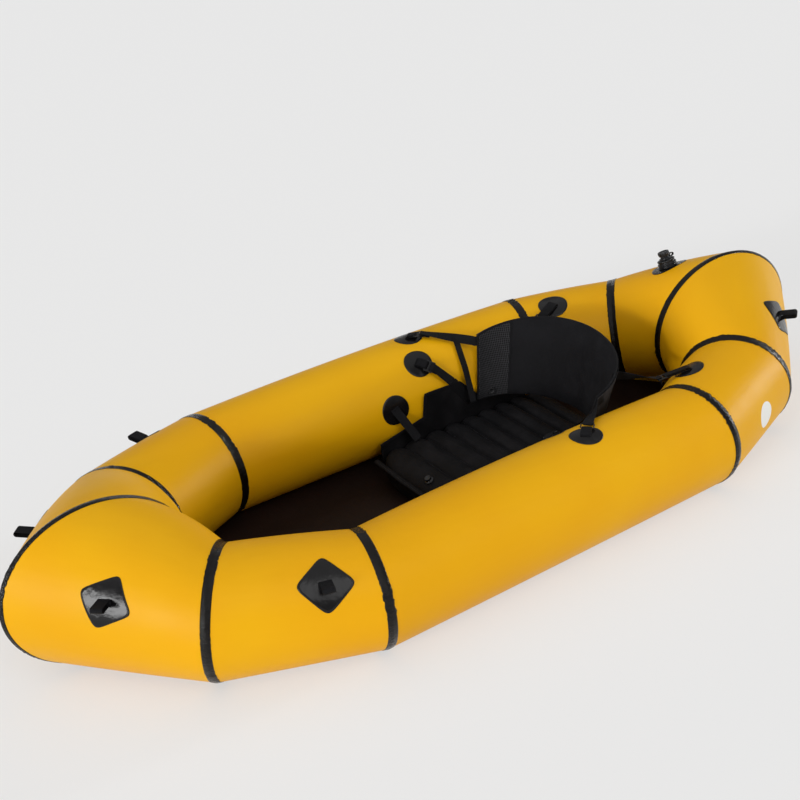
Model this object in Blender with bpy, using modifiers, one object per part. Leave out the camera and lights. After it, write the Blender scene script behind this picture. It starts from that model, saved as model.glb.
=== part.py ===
"""Packraft: a one-person inflatable boat of ten welded tube panels with taped seams,
a floor sheet, a ribbed seat cushion and a strapped backrest.
Metres, +Z up. The bow points to -Y and port is +X. The origin lies on the ground,
under the middle of the hull."""

import math

import bmesh
import bpy
from mathutils import Matrix, Vector

# Hull tube: section radii, places across and runs along the boat, bow to stern
BOW_RADIUS = 0.198
SHOULDER_RADIUS = 0.154
FORE_RADIUS = 0.140
AFT_RADIUS = 0.134
QUARTER_RADIUS = 0.138
STERN_RADIUS = 0.189
STERN_FLATNESS_SHARE = 0.968
SHOULDER_X = 0.259
FORE_X = 0.396
AFT_X = 0.369
QUARTER_X = 0.242
SHOULDER_RUN = 0.178
FORE_RUN = 0.308
SIDE_RUN = 0.978
QUARTER_RUN = 0.257
STERN_RUN = 0.169
BOW_SWELL = 0.012
FORE_SWELL = 0.003
SIDE_SWELL = 0.009
AFT_SWELL = 0.003
STERN_SWELL = 0.009
HULL_WALL = 0.0012
HULL_SIDES = 24
SWOLLEN_STEPS = 4
PLAIN_STEPS = 2

# Sheets that lie on the hull
CLEARANCE = 0.0003
TAPE_WIDTH = 0.024
TAPE_THICKNESS = 0.0008
FLOOR_THICKNESS = 0.0012
FLOOR_MARGIN_SIDES = 1
PATCH_THICKNESS = 0.0010
PATCH_LIFT = 0.0006
PATCH_CELLS = 5
ROUND_PATCH_RADIUS = 0.040
SQUARE_PATCH_WIDTH = 0.098
ROUND_POWER = 2
SQUARE_POWER = 7

# Webbing and what it runs through
WEBBING_WIDTH = 0.025
WEBBING_THICKNESS = 0.0016
TIE_LOOP_WIDTH = 0.030
TIE_LOOP_LENGTH = 0.040
TIE_LOOP_HALF_GAP = 0.0062
TIE_LOOP_RISE = math.radians(5)
TIE_FOOT_LENGTH = 0.016
FOOT_HEIGHT = 0.0016
TAB_HEIGHT = 0.0056
TAB_FOOT_DROP = 0.0036
TAB_FOOT_LENGTH = 0.008
TAB_REACH = 0.020
REAR_TAB_REACH = 0.060
TAB_RISE = math.radians(6)
BAR_THICKNESS = 0.0030
RING_WIRE_RADIUS = 0.0016
RING_LENGTH = 0.017
RING_CORNER = 0.003
RING_SIDES = 6
LOCK_SLOT = 0.0056
LOCK_CENTRE_BAR = 0.0040
LOCK_LEDGE = 0.0060
LOCK_SIDE = 0.0040
SLOT_SIDE_PLAY = 0.0010
RETURN_LENGTH = 0.024
LOWER_TAIL = 0.022
REAR_TAIL = 0.013
BRANCH_WIDTH = 0.018

# Seat cushion
SEAT_FRONT_Y = -0.055
SEAT_LENGTH = 0.524
SEAT_HALF_WIDTH = 0.231
SEAT_HEIGHT = 0.086
SEAT_RIBS = 9
RIB_SPREAD_SHARE = 0.83
RIB_RINGS = 4
CHANNEL_DEPTH = 0.016
SIDE_PULL = 0.007
RIB_FULLNESS_SHARE = 0.7
SEAT_SIDE_RISE = 0.012
SEAT_UNDERCUT = 0.006
SEAT_AROUND = 20
SIDE_PANEL_THICKNESS = 0.002
SIDE_PANEL_FRONT_Y = -0.030
SIDE_PANEL_NECK_Y = 0.113
SIDE_PANEL_STEP_Y = 0.125
SIDE_PANEL_TOP_Y = 0.235
SIDE_PANEL_BEND_Y = 0.290
SIDE_PANEL_REAR_Y = 0.440
SIDE_PANEL_BOTTOM_Z = 0.045
SIDE_PANEL_FRONT_Z = 0.094
SIDE_PANEL_NECK_Z = 0.122
SIDE_PANEL_STEP_Z = 0.187
SIDE_PANEL_TOP_Z = 0.182
SIDE_PANEL_REAR_Z = 0.112

# Backrest: a leaning half ellipse in plan, hinged at its lower front ends
PIVOT_Y = 0.279
PIVOT_Z = 0.118
BACK_BOTTOM_HALF_WIDTH = 0.2235
BACK_TOP_HALF_WIDTH = 0.262
BACK_BOTTOM_DEPTH = 0.161
BACK_TOP_DEPTH = 0.183
BACK_LEAN = 0.046
BACK_END_HEIGHT = 0.164
BACK_ARCH = 0.048
PAD_CROWN = 0.018
WING_THICKNESS = 0.011
WING_START = math.radians(60)
PAD_RINGS = 16
WING_RINGS = 7
PILLOW_AROUND = 16

# Valves
VALVE_FLANGE_RADIUS = 0.044
VALVE_COLLAR_RADIUS = 0.026
VALVE_COLLAR_HEIGHT = 0.011
VALVE_SEAT_SINK = 0.0004
VALVE_BODY_RADIUS = 0.0245
VALVE_BODY_HEIGHT = 0.010
VALVE_NECK_RADIUS = 0.0125
VALVE_NECK_HEIGHT = 0.009
VALVE_CAP_RADIUS = 0.0160
VALVE_CAP_HEIGHT = 0.012
VALVE_LIP = 0.0015
TETHER_WIDTH = 0.004
TETHER_THICKNESS = 0.003
TETHER_LUG_REACH = 0.013
TETHER_LUG_WIDTH = 0.010
SEAT_VALVE_SHARE = 0.04
SEAT_VALVE_RADIUS = 0.012
SEAT_VALVE_HEIGHT = 0.005
SEAT_VALVE_CAP_RADIUS = 0.009
SEAT_VALVE_CAP_HEIGHT = 0.007
BACK_VALVE_RADIUS = 0.009
BACK_VALVE_HEIGHT = 0.007
BACK_VALVE_TURN_SHARE = 1.27
BACK_VALVE_RISE_SHARE = 0.075
VALVE_STEPS = 20

# Places on the hull: panel, share of the panel's run, angle up from the outer side
BOW, FORE, SIDE, AFT, STERN = range(5)
PORT, STARBOARD = 1, -1
BOW_TIE_SHARES = (BOW, 0.525, math.radians(28))
FORE_TIE_SHARES = (FORE, 0.675, math.radians(42))
STERN_TIE_SHARES = (STERN, 0.425, math.radians(32))
UPPER_ANCHOR_SHARES = (SIDE, 0.650, math.radians(86))
LOWER_ANCHOR_SHARES = (SIDE, 0.620, math.radians(128))
FRONT_ANCHOR_SHARES = (SIDE, 0.500, math.radians(167))
REAR_ANCHOR_SHARES = (AFT, 0.355, math.radians(110))
MAIN_VALVE_SHARES = (STERN, 0.550, math.radians(91))
BOW_TIE_TURN = math.radians(30)
TIE_TURN = math.radians(42)

# Where the straps end on the backrest: bearing from the stern, share of its height
UPPER_STRAP_END_SHARES = (math.radians(82), 0.90)
REAR_STRAP_END_SHARES = (math.radians(48), 0.86)
STRAP_SEWN_LENGTH = 0.020

# The branch of the upper strap, as shares of the backrest's lower half width, depth and pivot height
BRANCH_START_SHARE = 0.62
BRANCH_BEND_SHARES = (1.065, 0.106, 1.797)
BRANCH_END_SHARES = (0.877, 0.180, 1.100)

# The front strap's end, as shares of the seat's half width, length and height
FRONT_STRAP_END_SHARES = (0.831, 0.227, 1.070)

# The lower strap's crest over the side panel's top edge, and its end inside the panel
LOWER_STRAP_CREST_SHARE = 0.809
LOWER_STRAP_CREST_RISE = 0.0090
LOWER_STRAP_END_INSET = 0.028

WELD = 0.00001

scene_collection = bpy.context.scene.collection
for old in list(bpy.data.objects):
    bpy.data.objects.remove(old, do_unlink=True)
packraft = bpy.data.collections.new("packraft")
scene_collection.children.link(packraft)
cutters = bpy.data.collections.new("cutters")
scene_collection.children.link(cutters)


def material(name, colour, roughness, metallic=0.0):
    """A plain surface with the photographed colour."""
    made = bpy.data.materials.new(name)
    made.use_nodes = True
    shader = made.node_tree.nodes["Principled BSDF"]
    shader.inputs["Base Color"].default_value = (*colour, 1.0)
    shader.inputs["Roughness"].default_value = roughness
    shader.inputs["Metallic"].default_value = metallic
    made.diffuse_color = (*colour, 1.0)
    return made


HULL_FABRIC = material("hull_fabric", (0.84, 0.45, 0.02), 0.42)
TAPE_FILM = material("tape_film", (0.012, 0.012, 0.013), 0.18)
FLOOR_FABRIC = material("floor_fabric", (0.020, 0.014, 0.012), 0.60)
SEAT_FABRIC = material("seat_fabric", (0.022, 0.022, 0.024), 0.75)
BACK_FABRIC = material("back_fabric", (0.030, 0.030, 0.033), 0.80)
MESH_FABRIC = material("mesh_fabric", (0.060, 0.060, 0.064), 0.85)
WEBBING = material("webbing", (0.018, 0.018, 0.020), 0.70)
PATCH_FABRIC = material("patch_fabric", (0.014, 0.014, 0.015), 0.30)
BUCKLE_PLASTIC = material("buckle_plastic", (0.020, 0.020, 0.021), 0.38)
VALVE_PLASTIC = material("valve_plastic", (0.025, 0.026, 0.028), 0.35)


def add(name, bm, surface, smooth=True, home=packraft):
    """Turns the bmesh into a named object of the packraft."""
    mesh = bpy.data.meshes.new(name)
    bm.to_mesh(mesh)
    bm.free()
    mesh.materials.append(surface)
    if smooth:
        mesh.shade_smooth()
        mesh.set_sharp_from_angle(angle=math.radians(35))
    made = bpy.data.objects.new(name, mesh)
    home.objects.link(made)
    return made


def bent_grid(columns, rows, place):
    """A grid whose corner (i, j) is moved to place(i, j); corners that meet are welded."""
    bm = bmesh.new()
    bmesh.ops.create_grid(bm, x_segments=columns, y_segments=rows, size=1)
    for vert in bm.verts:
        i = round((vert.co.x + 1) / 2 * columns)
        j = round((vert.co.y + 1) / 2 * rows)
        vert.co = place(i, j)
    bmesh.ops.remove_doubles(bm, verts=bm.verts, dist=WELD)
    bm.normal_update()
    return bm


def turn_outward(bm):
    """Turns the faces of a closed solid outward."""
    bm.normal_update()
    bmesh.ops.recalc_face_normals(bm, faces=bm.faces)
    return bm


def close_ends(bm):
    """Fills the open ends of a tube and turns all faces outward."""
    open_edges = [edge for edge in bm.edges if edge.is_boundary]
    if open_edges:
        bmesh.ops.holes_fill(bm, edges=open_edges, sides=0)
    return turn_outward(bm)


def thicken(sheet, thickness, offset):
    """Gives an open sheet its thickness, on the side that offset names."""
    shell = sheet.modifiers.new("thickness", "SOLIDIFY")
    shell.thickness = thickness
    shell.offset = offset
    shell.use_even_offset = True


def join_on(base, extra):
    """Unites an extra solid with its base, as one piece."""
    extra.hide_render = True
    extra.display_type = "WIRE"
    union = base.modifiers.new("union", "BOOLEAN")
    union.operation = "UNION"
    union.object = extra


def side_name(side):
    return "port" if side == PORT else "starboard"


# Hull surface
PANEL_NAMES = ("bow", "fore", "side", "aft", "stern")
PANEL_SWELLS = (BOW_SWELL, FORE_SWELL, SIDE_SWELL, AFT_SWELL, STERN_SWELL)
NODE_RADII = (BOW_RADIUS, SHOULDER_RADIUS, FORE_RADIUS, AFT_RADIUS, QUARTER_RADIUS, STERN_RADIUS)
NODE_X = (0.0, SHOULDER_X, FORE_X, AFT_X, QUARTER_X, 0.0)
NODE_RUNS = (0.0, SHOULDER_RUN, FORE_RUN, SIDE_RUN, QUARTER_RUN, STERN_RUN)
HALF_SIDE = math.pi / HULL_SIDES
FLOOR_LIFT = CLEARANCE + TAPE_THICKNESS + CLEARANCE


def node_centres():
    """The tube's centreline at each mitre, with the hull's two ends equally far from the origin."""
    bow_reach = BOW_RADIUS * math.hypot(SHOULDER_X, SHOULDER_RUN) / SHOULDER_X
    stern_reach = STERN_RADIUS * STERN_FLATNESS_SHARE * math.hypot(QUARTER_X, STERN_RUN) / QUARTER_X
    y = (bow_reach - stern_reach - sum(NODE_RUNS)) / 2
    centres = []
    for x, run, radius in zip(NODE_X, NODE_RUNS, NODE_RADII):
        y += run
        z = (radius + FLOOR_LIFT) * math.cos(HALF_SIDE) + FLOOR_THICKNESS
        centres.append(Vector((x, y, z)))
    return centres


CENTRES = node_centres()


def level(vector):
    return Vector((vector.x, vector.y, 0.0))


def slope(start, end):
    return (end.z - start.z) / level(end - start).length


def section_arms(node):
    """The outward and upward arms of the tube's section at a mitre, on the port side."""
    runs = [level(after - before).normalized() for before, after in zip(CENTRES, CENTRES[1:])]
    rises = [slope(before, after) for before, after in zip(CENTRES, CENTRES[1:])]
    lean = 0.0
    if node == 0:
        travel = Vector((1.0, 0.0, 0.0))
    elif node > STERN:
        travel = Vector((-1.0, 0.0, 0.0))
    else:
        travel = (runs[node - 1] + runs[node]).normalized()
        lean = -(rises[node - 1] + rises[node]) / 2
    spread = 1 / travel.dot(runs[min(node, STERN)])
    if node > STERN:
        spread *= STERN_FLATNESS_SHARE
    outward = Vector((travel.y, -travel.x, 0.0)) * spread
    upward = Vector((0.0, 0.0, 1.0)) + travel * lean
    return outward, upward


ARMS = [section_arms(node) for node in range(STERN + 2)]


def mirrored(vector, side):
    return Vector((vector.x * side, vector.y, vector.z))


def skin(side, panel, share, angle, height=0.0):
    """A point of the hull's surface, or one that lies this high above it."""
    axis, point = Vector(), Vector()
    for node, weight in ((panel, 1 - share), (panel + 1, share)):
        outward, upward = ARMS[node]
        arm = (outward * math.cos(angle) + upward * math.sin(angle)) * (NODE_RADII[node] + height)
        axis += CENTRES[node] * weight
        point += (CENTRES[node] + arm) * weight
    swell = PANEL_SWELLS[panel] * 4 * share * (1 - share) * (1 + math.sin(angle)) / 2
    return mirrored(point + (point - axis).normalized() * swell, side)


STEP_SHARE = 0.01


def skin_slopes(side, panel, share, angle):
    """How the surface runs along the panel and round the tube, per unit of share and angle."""
    along = skin(side, panel, share + STEP_SHARE, angle) - skin(side, panel, share - STEP_SHARE, angle)
    around = skin(side, panel, share, angle + STEP_SHARE) - skin(side, panel, share, angle - STEP_SHARE)
    return along / (2 * STEP_SHARE), around / (2 * STEP_SHARE)


def skin_normal(side, panel, share, angle):
    along, around = skin_slopes(side, panel, share, angle)
    return along.cross(around).normalized() * side


def panel_length(panel):
    return (CENTRES[panel + 1] - CENTRES[panel]).length


def ring_angle(step):
    """Angles of the section's corners, with a level face at the bottom."""
    return -math.pi / 2 + HALF_SIDE * (2 * step + 1)


def hull_panel(side, panel):
    """A tube of coated cloth between two mitres, open at both."""
    steps = SWOLLEN_STEPS if PANEL_SWELLS[panel] > FORE_SWELL else PLAIN_STEPS
    trim = CLEARANCE / panel_length(panel)
    seam = TAPE_WIDTH / 2 / panel_length(panel)
    shares = [trim, seam] + [k / steps for k in range(1, steps)] + [1 - seam, 1 - trim]
    outer = [(share, 0.0) for share in shares]
    section = outer + [(1 - trim, -HULL_WALL), (trim, -HULL_WALL)]

    def place(i, j):
        share, height = section[j % len(section)]
        return skin(side, panel, share, ring_angle(i % HULL_SIDES), height)

    bm = close_ends(bent_grid(HULL_SIDES, len(section), place))
    add(f"{PANEL_NAMES[panel]}_panel_{side_name(side)}", bm, HULL_FABRIC)


def seam_tape(name, before, after):
    """A tape over the mitre where two panels meet, each given as side, panel and mitre share."""
    sides = []
    for side, panel, share in (before, after):
        reach = TAPE_WIDTH / 2 / panel_length(panel)
        sides.append((side, panel, share, abs(share - reach)))
    (side_a, panel_a, mitre_a, edge_a), (side_b, panel_b, _, edge_b) = sides
    edge = ((side_a, panel_a, edge_a), (side_a, panel_a, mitre_a), (side_b, panel_b, edge_b))
    low, high = CLEARANCE, CLEARANCE + TAPE_THICKNESS
    section = [(*spot, low) for spot in edge] + [(*spot, high) for spot in reversed(edge)]

    def place(i, j):
        side, panel, share, height = section[j % len(section)]
        return skin(side, panel, share, ring_angle(i % HULL_SIDES), height)

    add(name, close_ends(bent_grid(HULL_SIDES, len(section), place)), TAPE_FILM)


def floor_panel():
    """The floor sheet, flat between the tubes, with margins that run on under them."""
    angles = [ring_angle(step) for step in range(-1, FLOOR_MARGIN_SIDES)]
    rows = (STERN + 1) * SWOLLEN_STEPS

    def place(i, j):
        panel = min(j // SWOLLEN_STEPS, STERN)
        share = j / SWOLLEN_STEPS - panel
        point = skin(PORT, panel, share, angles[max(i - 1, 0)], FLOOR_LIFT)
        if i == 0:
            point.x = 0.0
        return point

    bm = bent_grid(len(angles), rows, place)
    flat = max(bm.faces, key=lambda face: face.calc_area())
    if flat.normal.z < 0:
        bmesh.ops.reverse_faces(bm, faces=bm.faces)
    sheet = add("floor_panel", bm, FLOOR_FABRIC)
    mirror = sheet.modifiers.new("mirror", "MIRROR")
    mirror.use_axis = (True, False, False)
    mirror.merge_threshold = WELD
    thicken(sheet, FLOOR_THICKNESS, -1)


def patch(name, side, spot, half_size, power, turn=0.0):
    """A patch welded on the hull: a disc at power 2, a square with round corners above it."""

    def place(i, j):
        p, q = (2 * i / PATCH_CELLS - 1, 2 * j / PATCH_CELLS - 1)
        bearing = math.atan2(q, p)
        reach = (abs(math.cos(bearing)) ** power + abs(math.sin(bearing)) ** power) ** (-1 / power)
        spread = half_size * max(abs(p), abs(q)) * reach
        panel, share, angle = spot
        along, around = skin_slopes(side, panel, share, angle)
        share += spread * math.cos(bearing + turn) / along.length
        angle += spread * math.sin(bearing + turn) / around.length
        return skin(side, panel, share, angle, PATCH_LIFT)

    piece = add(name, bent_grid(PATCH_CELLS, PATCH_CELLS, place), PATCH_FABRIC)
    thicken(piece, PATCH_THICKNESS, side)
    return piece


def band_loop(name, path, width, frame, home=packraft):
    """A closed loop of webbing: its path in the frame's XZ plane, its width along Y."""
    count = len(path)
    half = WEBBING_THICKNESS / 2

    def place(i, j):
        before, here, after = (Vector(path[(i + k) % count]) for k in (-1, 0, 1))
        run_in, run_out = (here - before).normalized(), (after - here).normalized()
        normal = Vector((run_in.y + run_out.y, -run_in.x - run_out.x)).normalized()
        reach = half / max(normal.dot(Vector((run_in.y, -run_in.x))), 0.5)
        across, over = ((-1, -1), (1, -1), (1, 1), (-1, 1))[j % 4]
        point = here + normal * reach * over
        return frame @ Vector((point.x, across * width / 2, point.y))

    return add(name, close_ends(bent_grid(count, 4, place)), WEBBING, home=home)


def ribbon(name, route, wides, width, home=packraft):
    """A run of webbing along a route, its width at each point along the given direction."""
    half = WEBBING_THICKNESS / 2
    last = len(route) - 1

    def place(i, j):
        tangent = (route[min(j + 1, last)] - route[max(j - 1, 0)]).normalized()
        wide = (wides[j] - tangent * wides[j].dot(tangent)).normalized()
        thick = tangent.cross(wide)
        across, over = ((-1, -1), (1, -1), (1, 1), (-1, 1))[i % 4]
        return route[j] + wide * across * width / 2 + thick * over * half

    return add(name, close_ends(bent_grid(4, last, place)), WEBBING, home=home)


def turn_points(x, radius, start, end, steps):
    """Points of a bend of webbing round a bar at this x, in the XZ plane."""
    angles = [math.radians(start + (end - start) * k / steps) for k in range(steps + 1)]
    return [(x + radius * math.cos(a), radius * math.sin(a)) for a in angles]


TURN_STEPS = 4
BAR_TURN = BAR_THICKNESS * math.sqrt(2) / 2 + CLEARANCE + WEBBING_THICKNESS / 2
WIRE_TURN = RING_WIRE_RADIUS + CLEARANCE * 2 + WEBBING_THICKNESS / 2


def frame_matrix(origin, x_axis, y_axis, z_axis):
    turned = Matrix((x_axis, y_axis, z_axis)).transposed().to_4x4()
    return Matrix.Translation(origin) @ turned


def tie_down(name, side, spot, turn):
    """A square patch with a loop of webbing that hangs level, straight out from the hull."""
    base = patch(name, side, spot, SQUARE_PATCH_WIDTH / 2, SQUARE_POWER, turn)
    up = skin_normal(side, *spot)
    wide = Vector((0.0, 0.0, 1.0)).cross(up).normalized()
    frame = frame_matrix(skin(side, *spot), wide.cross(up), wide, up)
    swing = math.asin(up.z) - TIE_LOOP_RISE
    out = Vector((math.sin(swing), math.cos(swing)))
    across = Vector((out.y, -out.x))
    foot = TIE_FOOT_LENGTH / 2
    start = Vector((0.0, FOOT_HEIGHT + TIE_LOOP_HALF_GAP))
    path = [(foot, FOOT_HEIGHT), (-foot, FOOT_HEIGHT), tuple(start - across * TIE_LOOP_HALF_GAP)]
    for x, y in reversed(turn_points(TIE_LOOP_LENGTH, TIE_LOOP_HALF_GAP, -90, 90, TURN_STEPS)):
        path.append(tuple(start + out * (x - TIE_LOOP_HALF_GAP) - across * y))
    path.append(tuple(start + across * TIE_LOOP_HALF_GAP + out * TIE_LOOP_HALF_GAP))
    loop = band_loop(f"{name}_loop", path, TIE_LOOP_WIDTH, frame, cutters)
    join_on(base, loop)


def anchor_frame(side, spot, far):
    """Axes of a strap's anchor: X runs toward the far end, Y along the webbing's width."""
    panel, share, angle = spot
    foot, up = skin(side, panel, share, angle), skin_normal(side, panel, share, angle)
    run = far - foot
    run = (run - up * run.dot(up)).normalized()
    wide = up.cross(run)
    rising = run * math.cos(TAB_RISE) + up * math.sin(TAB_RISE)
    return frame_matrix(foot + up * TAB_HEIGHT, rising, wide, rising.cross(wide))


def anchor_patch(name, side, spot, frame, reach, turn_radius):
    """A round patch with a tab of webbing folded round a bar."""
    base = patch(name, side, spot, ROUND_PATCH_RADIUS, ROUND_POWER)
    path = [(0.0, -TAB_FOOT_DROP), (TAB_FOOT_LENGTH / 2, -turn_radius)]
    path += turn_points(reach, turn_radius, -90, 90, TURN_STEPS)
    path += [(0.0, turn_radius), (-TAB_FOOT_LENGTH, -TAB_FOOT_DROP)]
    join_on(base, band_loop(f"{name}_tab", path, WEBBING_WIDTH, frame, cutters))


def ladder_lock(name, frame, reach):
    """A flat buckle of three bars: tab end, centre and ledge, with a slot on each side of the centre."""
    half_slot = WEBBING_WIDTH / 2 + SLOT_SIDE_PLAY
    length = BAR_THICKNESS + LOCK_SLOT * 2 + LOCK_CENTRE_BAR + LOCK_LEDGE
    start = reach - BAR_THICKNESS / 2
    width = (half_slot + LOCK_SIDE) * 2
    body = box(name, frame, (start + length / 2, 0.0, 0.0), (length, width, BAR_THICKNESS), BUCKLE_PLASTIC)
    for number, slot_start in enumerate((BAR_THICKNESS, BAR_THICKNESS + LOCK_SLOT + LOCK_CENTRE_BAR)):
        middle = (start + slot_start + LOCK_SLOT / 2, 0.0, 0.0)
        size = (LOCK_SLOT, half_slot * 2, BAR_THICKNESS * 2)
        cutter = box(f"{name}_slot_{number}", frame, middle, size, BUCKLE_PLASTIC, cutters)
        cutter.hide_render = True
        cutter.display_type = "WIRE"
        cut = body.modifiers.new("slot", "BOOLEAN")
        cut.operation = "DIFFERENCE"
        cut.object = cutter


def box(name, frame, middle, size, surface, home=packraft):
    """A block at a place in the frame, with its sides along the frame's axes."""
    bm = bmesh.new()
    bmesh.ops.create_cube(bm, size=1)
    for vert in bm.verts:
        scaled = Vector(a * b for a, b in zip(vert.co, size))
        vert.co = frame @ (Vector(middle) + scaled)
    return add(name, turn_outward(bm), surface, smooth=False, home=home)


def strap_ring(name, frame):
    """A rectangular wire ring with round corners, held by its near bar."""
    half = WEBBING_WIDTH / 2 + RING_CORNER + CLEARANCE
    corners = ((RING_LENGTH, -half), (RING_LENGTH, half), (0.0, half), (0.0, -half))
    path = []
    for number, (x, y) in enumerate(corners):
        cx = x - RING_CORNER if x > 0 else x + RING_CORNER
        cy = y - RING_CORNER if y > 0 else y + RING_CORNER
        for k in range(3):
            bearing = math.radians(90 * number - 90 + 45 * k)
            path.append(Vector((cx + RING_CORNER * math.cos(bearing), cy + RING_CORNER * math.sin(bearing))))
    count = len(path)

    def place(i, j):
        before, here, after = (path[(i + k) % count] for k in (-1, 0, 1))
        run = (after - before).normalized()
        out = Vector((run.y, -run.x))
        bearing = math.tau * j / RING_SIDES
        point = here + out * RING_WIRE_RADIUS * math.cos(bearing)
        return frame @ Vector((TAB_REACH + point.x, point.y, RING_WIRE_RADIUS * math.sin(bearing)))

    add(name, close_ends(bent_grid(count, RING_SIDES, place)), BUCKLE_PLASTIC)


def pillow(name, around, rings, place, surface):
    """A closed soft form: a ball drawn out along its axis, with its poles flat in the two end faces."""
    bm = bmesh.new()
    bmesh.ops.create_uvsphere(bm, u_segments=around, v_segments=rings, radius=1)
    for vert in bm.verts:
        ring = round(math.acos(max(-1.0, min(1.0, vert.co.z))) / math.pi * rings)
        share = min(max((ring - 1) / (rings - 2), 0.0), 1.0)
        bearing = math.atan2(vert.co.y, vert.co.x)
        off_axis = 0 < ring < rings
        vert.co = place(share, math.cos(bearing) * off_axis, math.sin(bearing) * off_axis)
    return add(name, turn_outward(bm), surface)


def rounded(value, power):
    """Bends a circle's coordinate toward a square's."""
    return math.copysign(abs(value) ** (2 / power), value)


def envelope(share, power):
    """Full in the middle of the length, closing quickly at both ends."""
    return (1 - abs((2 * share - 1) * END_SPAN_SHARE) ** power) ** (1 / power)


END_SPAN_SHARE = 0.97
SEAT_BASE_Z = FLOOR_THICKNESS + CLEARANCE
SEAT_END_POWER = 8
SEAT_SIDE_POWER = 4
BACK_SIDE_POWER = 4


def seat_swell(share):
    """One on the crest of a rib, zero in a channel."""
    return abs(math.sin(math.pi * SEAT_RIBS * share)) ** RIB_FULLNESS_SHARE


def seat_point(share, across, upward):
    """Surface of the seat cushion: cross ribs, the front one widest, and raised, drawn-in sides."""
    run = share ** RIB_SPREAD_SHARE
    closing = envelope(run, SEAT_END_POWER)
    swell = seat_swell(share)
    x = rounded(across, SEAT_SIDE_POWER) * (SEAT_HALF_WIDTH - SIDE_PULL * (1 - swell)) * closing
    rise = SEAT_SIDE_RISE * (x / SEAT_HALF_WIDTH) ** 2
    height = SEAT_HEIGHT - CHANNEL_DEPTH * (1 - swell) + rise + SEAT_UNDERCUT
    lift = rounded(upward, SEAT_SIDE_POWER) * closing
    z = SEAT_BASE_Z - SEAT_UNDERCUT + height * (1 + lift) / 2
    return Vector((x, SEAT_FRONT_Y + SEAT_LENGTH * run, max(z, SEAT_BASE_Z)))


def side_panel(side):
    """A cloth gusset along the seat's edge, with a wing that stands up to take the lower strap."""
    inner = SEAT_HALF_WIDTH + CLEARANCE
    outline = (
        (SIDE_PANEL_FRONT_Y, SIDE_PANEL_BOTTOM_Z),
        (SIDE_PANEL_REAR_Y, SIDE_PANEL_BOTTOM_Z),
        (SIDE_PANEL_REAR_Y, SIDE_PANEL_REAR_Z),
        (SIDE_PANEL_BEND_Y, PIVOT_Z),
        (SIDE_PANEL_TOP_Y, SIDE_PANEL_TOP_Z),
        (SIDE_PANEL_STEP_Y, SIDE_PANEL_STEP_Z),
        (SIDE_PANEL_NECK_Y, SIDE_PANEL_NECK_Z),
        (SIDE_PANEL_FRONT_Y, SIDE_PANEL_FRONT_Z),
    )
    bm = bmesh.new()
    verts = [bm.verts.new((side * inner, y, z)) for y, z in outline]
    face = bmesh.ops.contextual_create(bm, geom=verts)["faces"]
    grown = bmesh.ops.extrude_face_region(bm, geom=face)["geom"]
    moved = [item for item in grown if isinstance(item, bmesh.types.BMVert)]
    bmesh.ops.translate(bm, verts=moved, vec=(side * SIDE_PANEL_THICKNESS, 0.0, 0.0))
    add(f"seat_side_panel_{side_name(side)}", turn_outward(bm), SEAT_FABRIC, smooth=False)


def back_point(bearing, rise, inset=0.0):
    """A point of the backrest: bearing from the stern, share of its height, depth under its outer face."""
    half_width = BACK_BOTTOM_HALF_WIDTH + (BACK_TOP_HALF_WIDTH - BACK_BOTTOM_HALF_WIDTH) * rise - inset
    depth = BACK_BOTTOM_DEPTH + (BACK_TOP_DEPTH - BACK_BOTTOM_DEPTH) * rise - inset
    y = PIVOT_Y + BACK_LEAN * rise + depth * math.cos(bearing)
    z = PIVOT_Z + (BACK_END_HEIGHT + BACK_ARCH * math.cos(bearing)) * rise
    return Vector((half_width * math.sin(bearing), y, z))


def back_normal(bearing, rise):
    sideways = back_point(bearing + STEP_SHARE, rise) - back_point(bearing - STEP_SHARE, rise)
    upward = back_point(bearing, rise + STEP_SHARE) - back_point(bearing, rise - STEP_SHARE)
    return upward.cross(sideways).normalized()


def back_pillow(name, start, end, crown, rings, surface):
    """A padded stretch of the backrest between two bearings, thicker by its crown in the middle."""

    def place(share, across, upward):
        span, lift = rounded(across, BACK_SIDE_POWER), rounded(upward, BACK_SIDE_POWER)
        swell = crown * math.sqrt(abs(math.sin(math.pi * share))) * (1 - span ** BACK_SIDE_POWER)
        inset = WING_THICKNESS * (1 - lift) / 2 + swell * max(-lift, 0.0)
        return back_point(start + (end - start) * share, (1 + span) / 2, inset)

    return pillow(name, PILLOW_AROUND, rings, place, surface)


def turned(name, profile, frame, surface, home=packraft):
    """A turned piece: its profile runs down the outer side, from axis to axis or round a bore."""
    bm = bmesh.new()
    verts = [bm.verts.new((radius, 0.0, z)) for radius, z in profile]
    for before, after in zip(verts, verts[1:]):
        bm.edges.new((before, after))
    if profile[0][0] > 0:
        bm.edges.new((verts[-1], verts[0]))
    piece = add(name, bm, surface, home=home)
    piece.matrix_world = frame
    spin = piece.modifiers.new("turn", "SCREW")
    spin.axis = "Z"
    spin.steps = VALVE_STEPS
    spin.render_steps = VALVE_STEPS
    spin.use_merge_vertices = True
    spin.merge_threshold = WELD
    return piece


def button_profile(radius, low, high, bevel):
    """A short round button with a bevelled rim."""
    return [(0.0, high), (radius - bevel, high), (radius, high - bevel), (radius, low), (0.0, low)]


def axis_frame(origin, axis):
    """A frame with its Z along the axis."""
    z_axis = axis.normalized()
    x_axis = Vector((0.0, 1.0, 0.0)).cross(z_axis).normalized()
    return frame_matrix(origin, x_axis, z_axis.cross(x_axis), z_axis)


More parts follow.
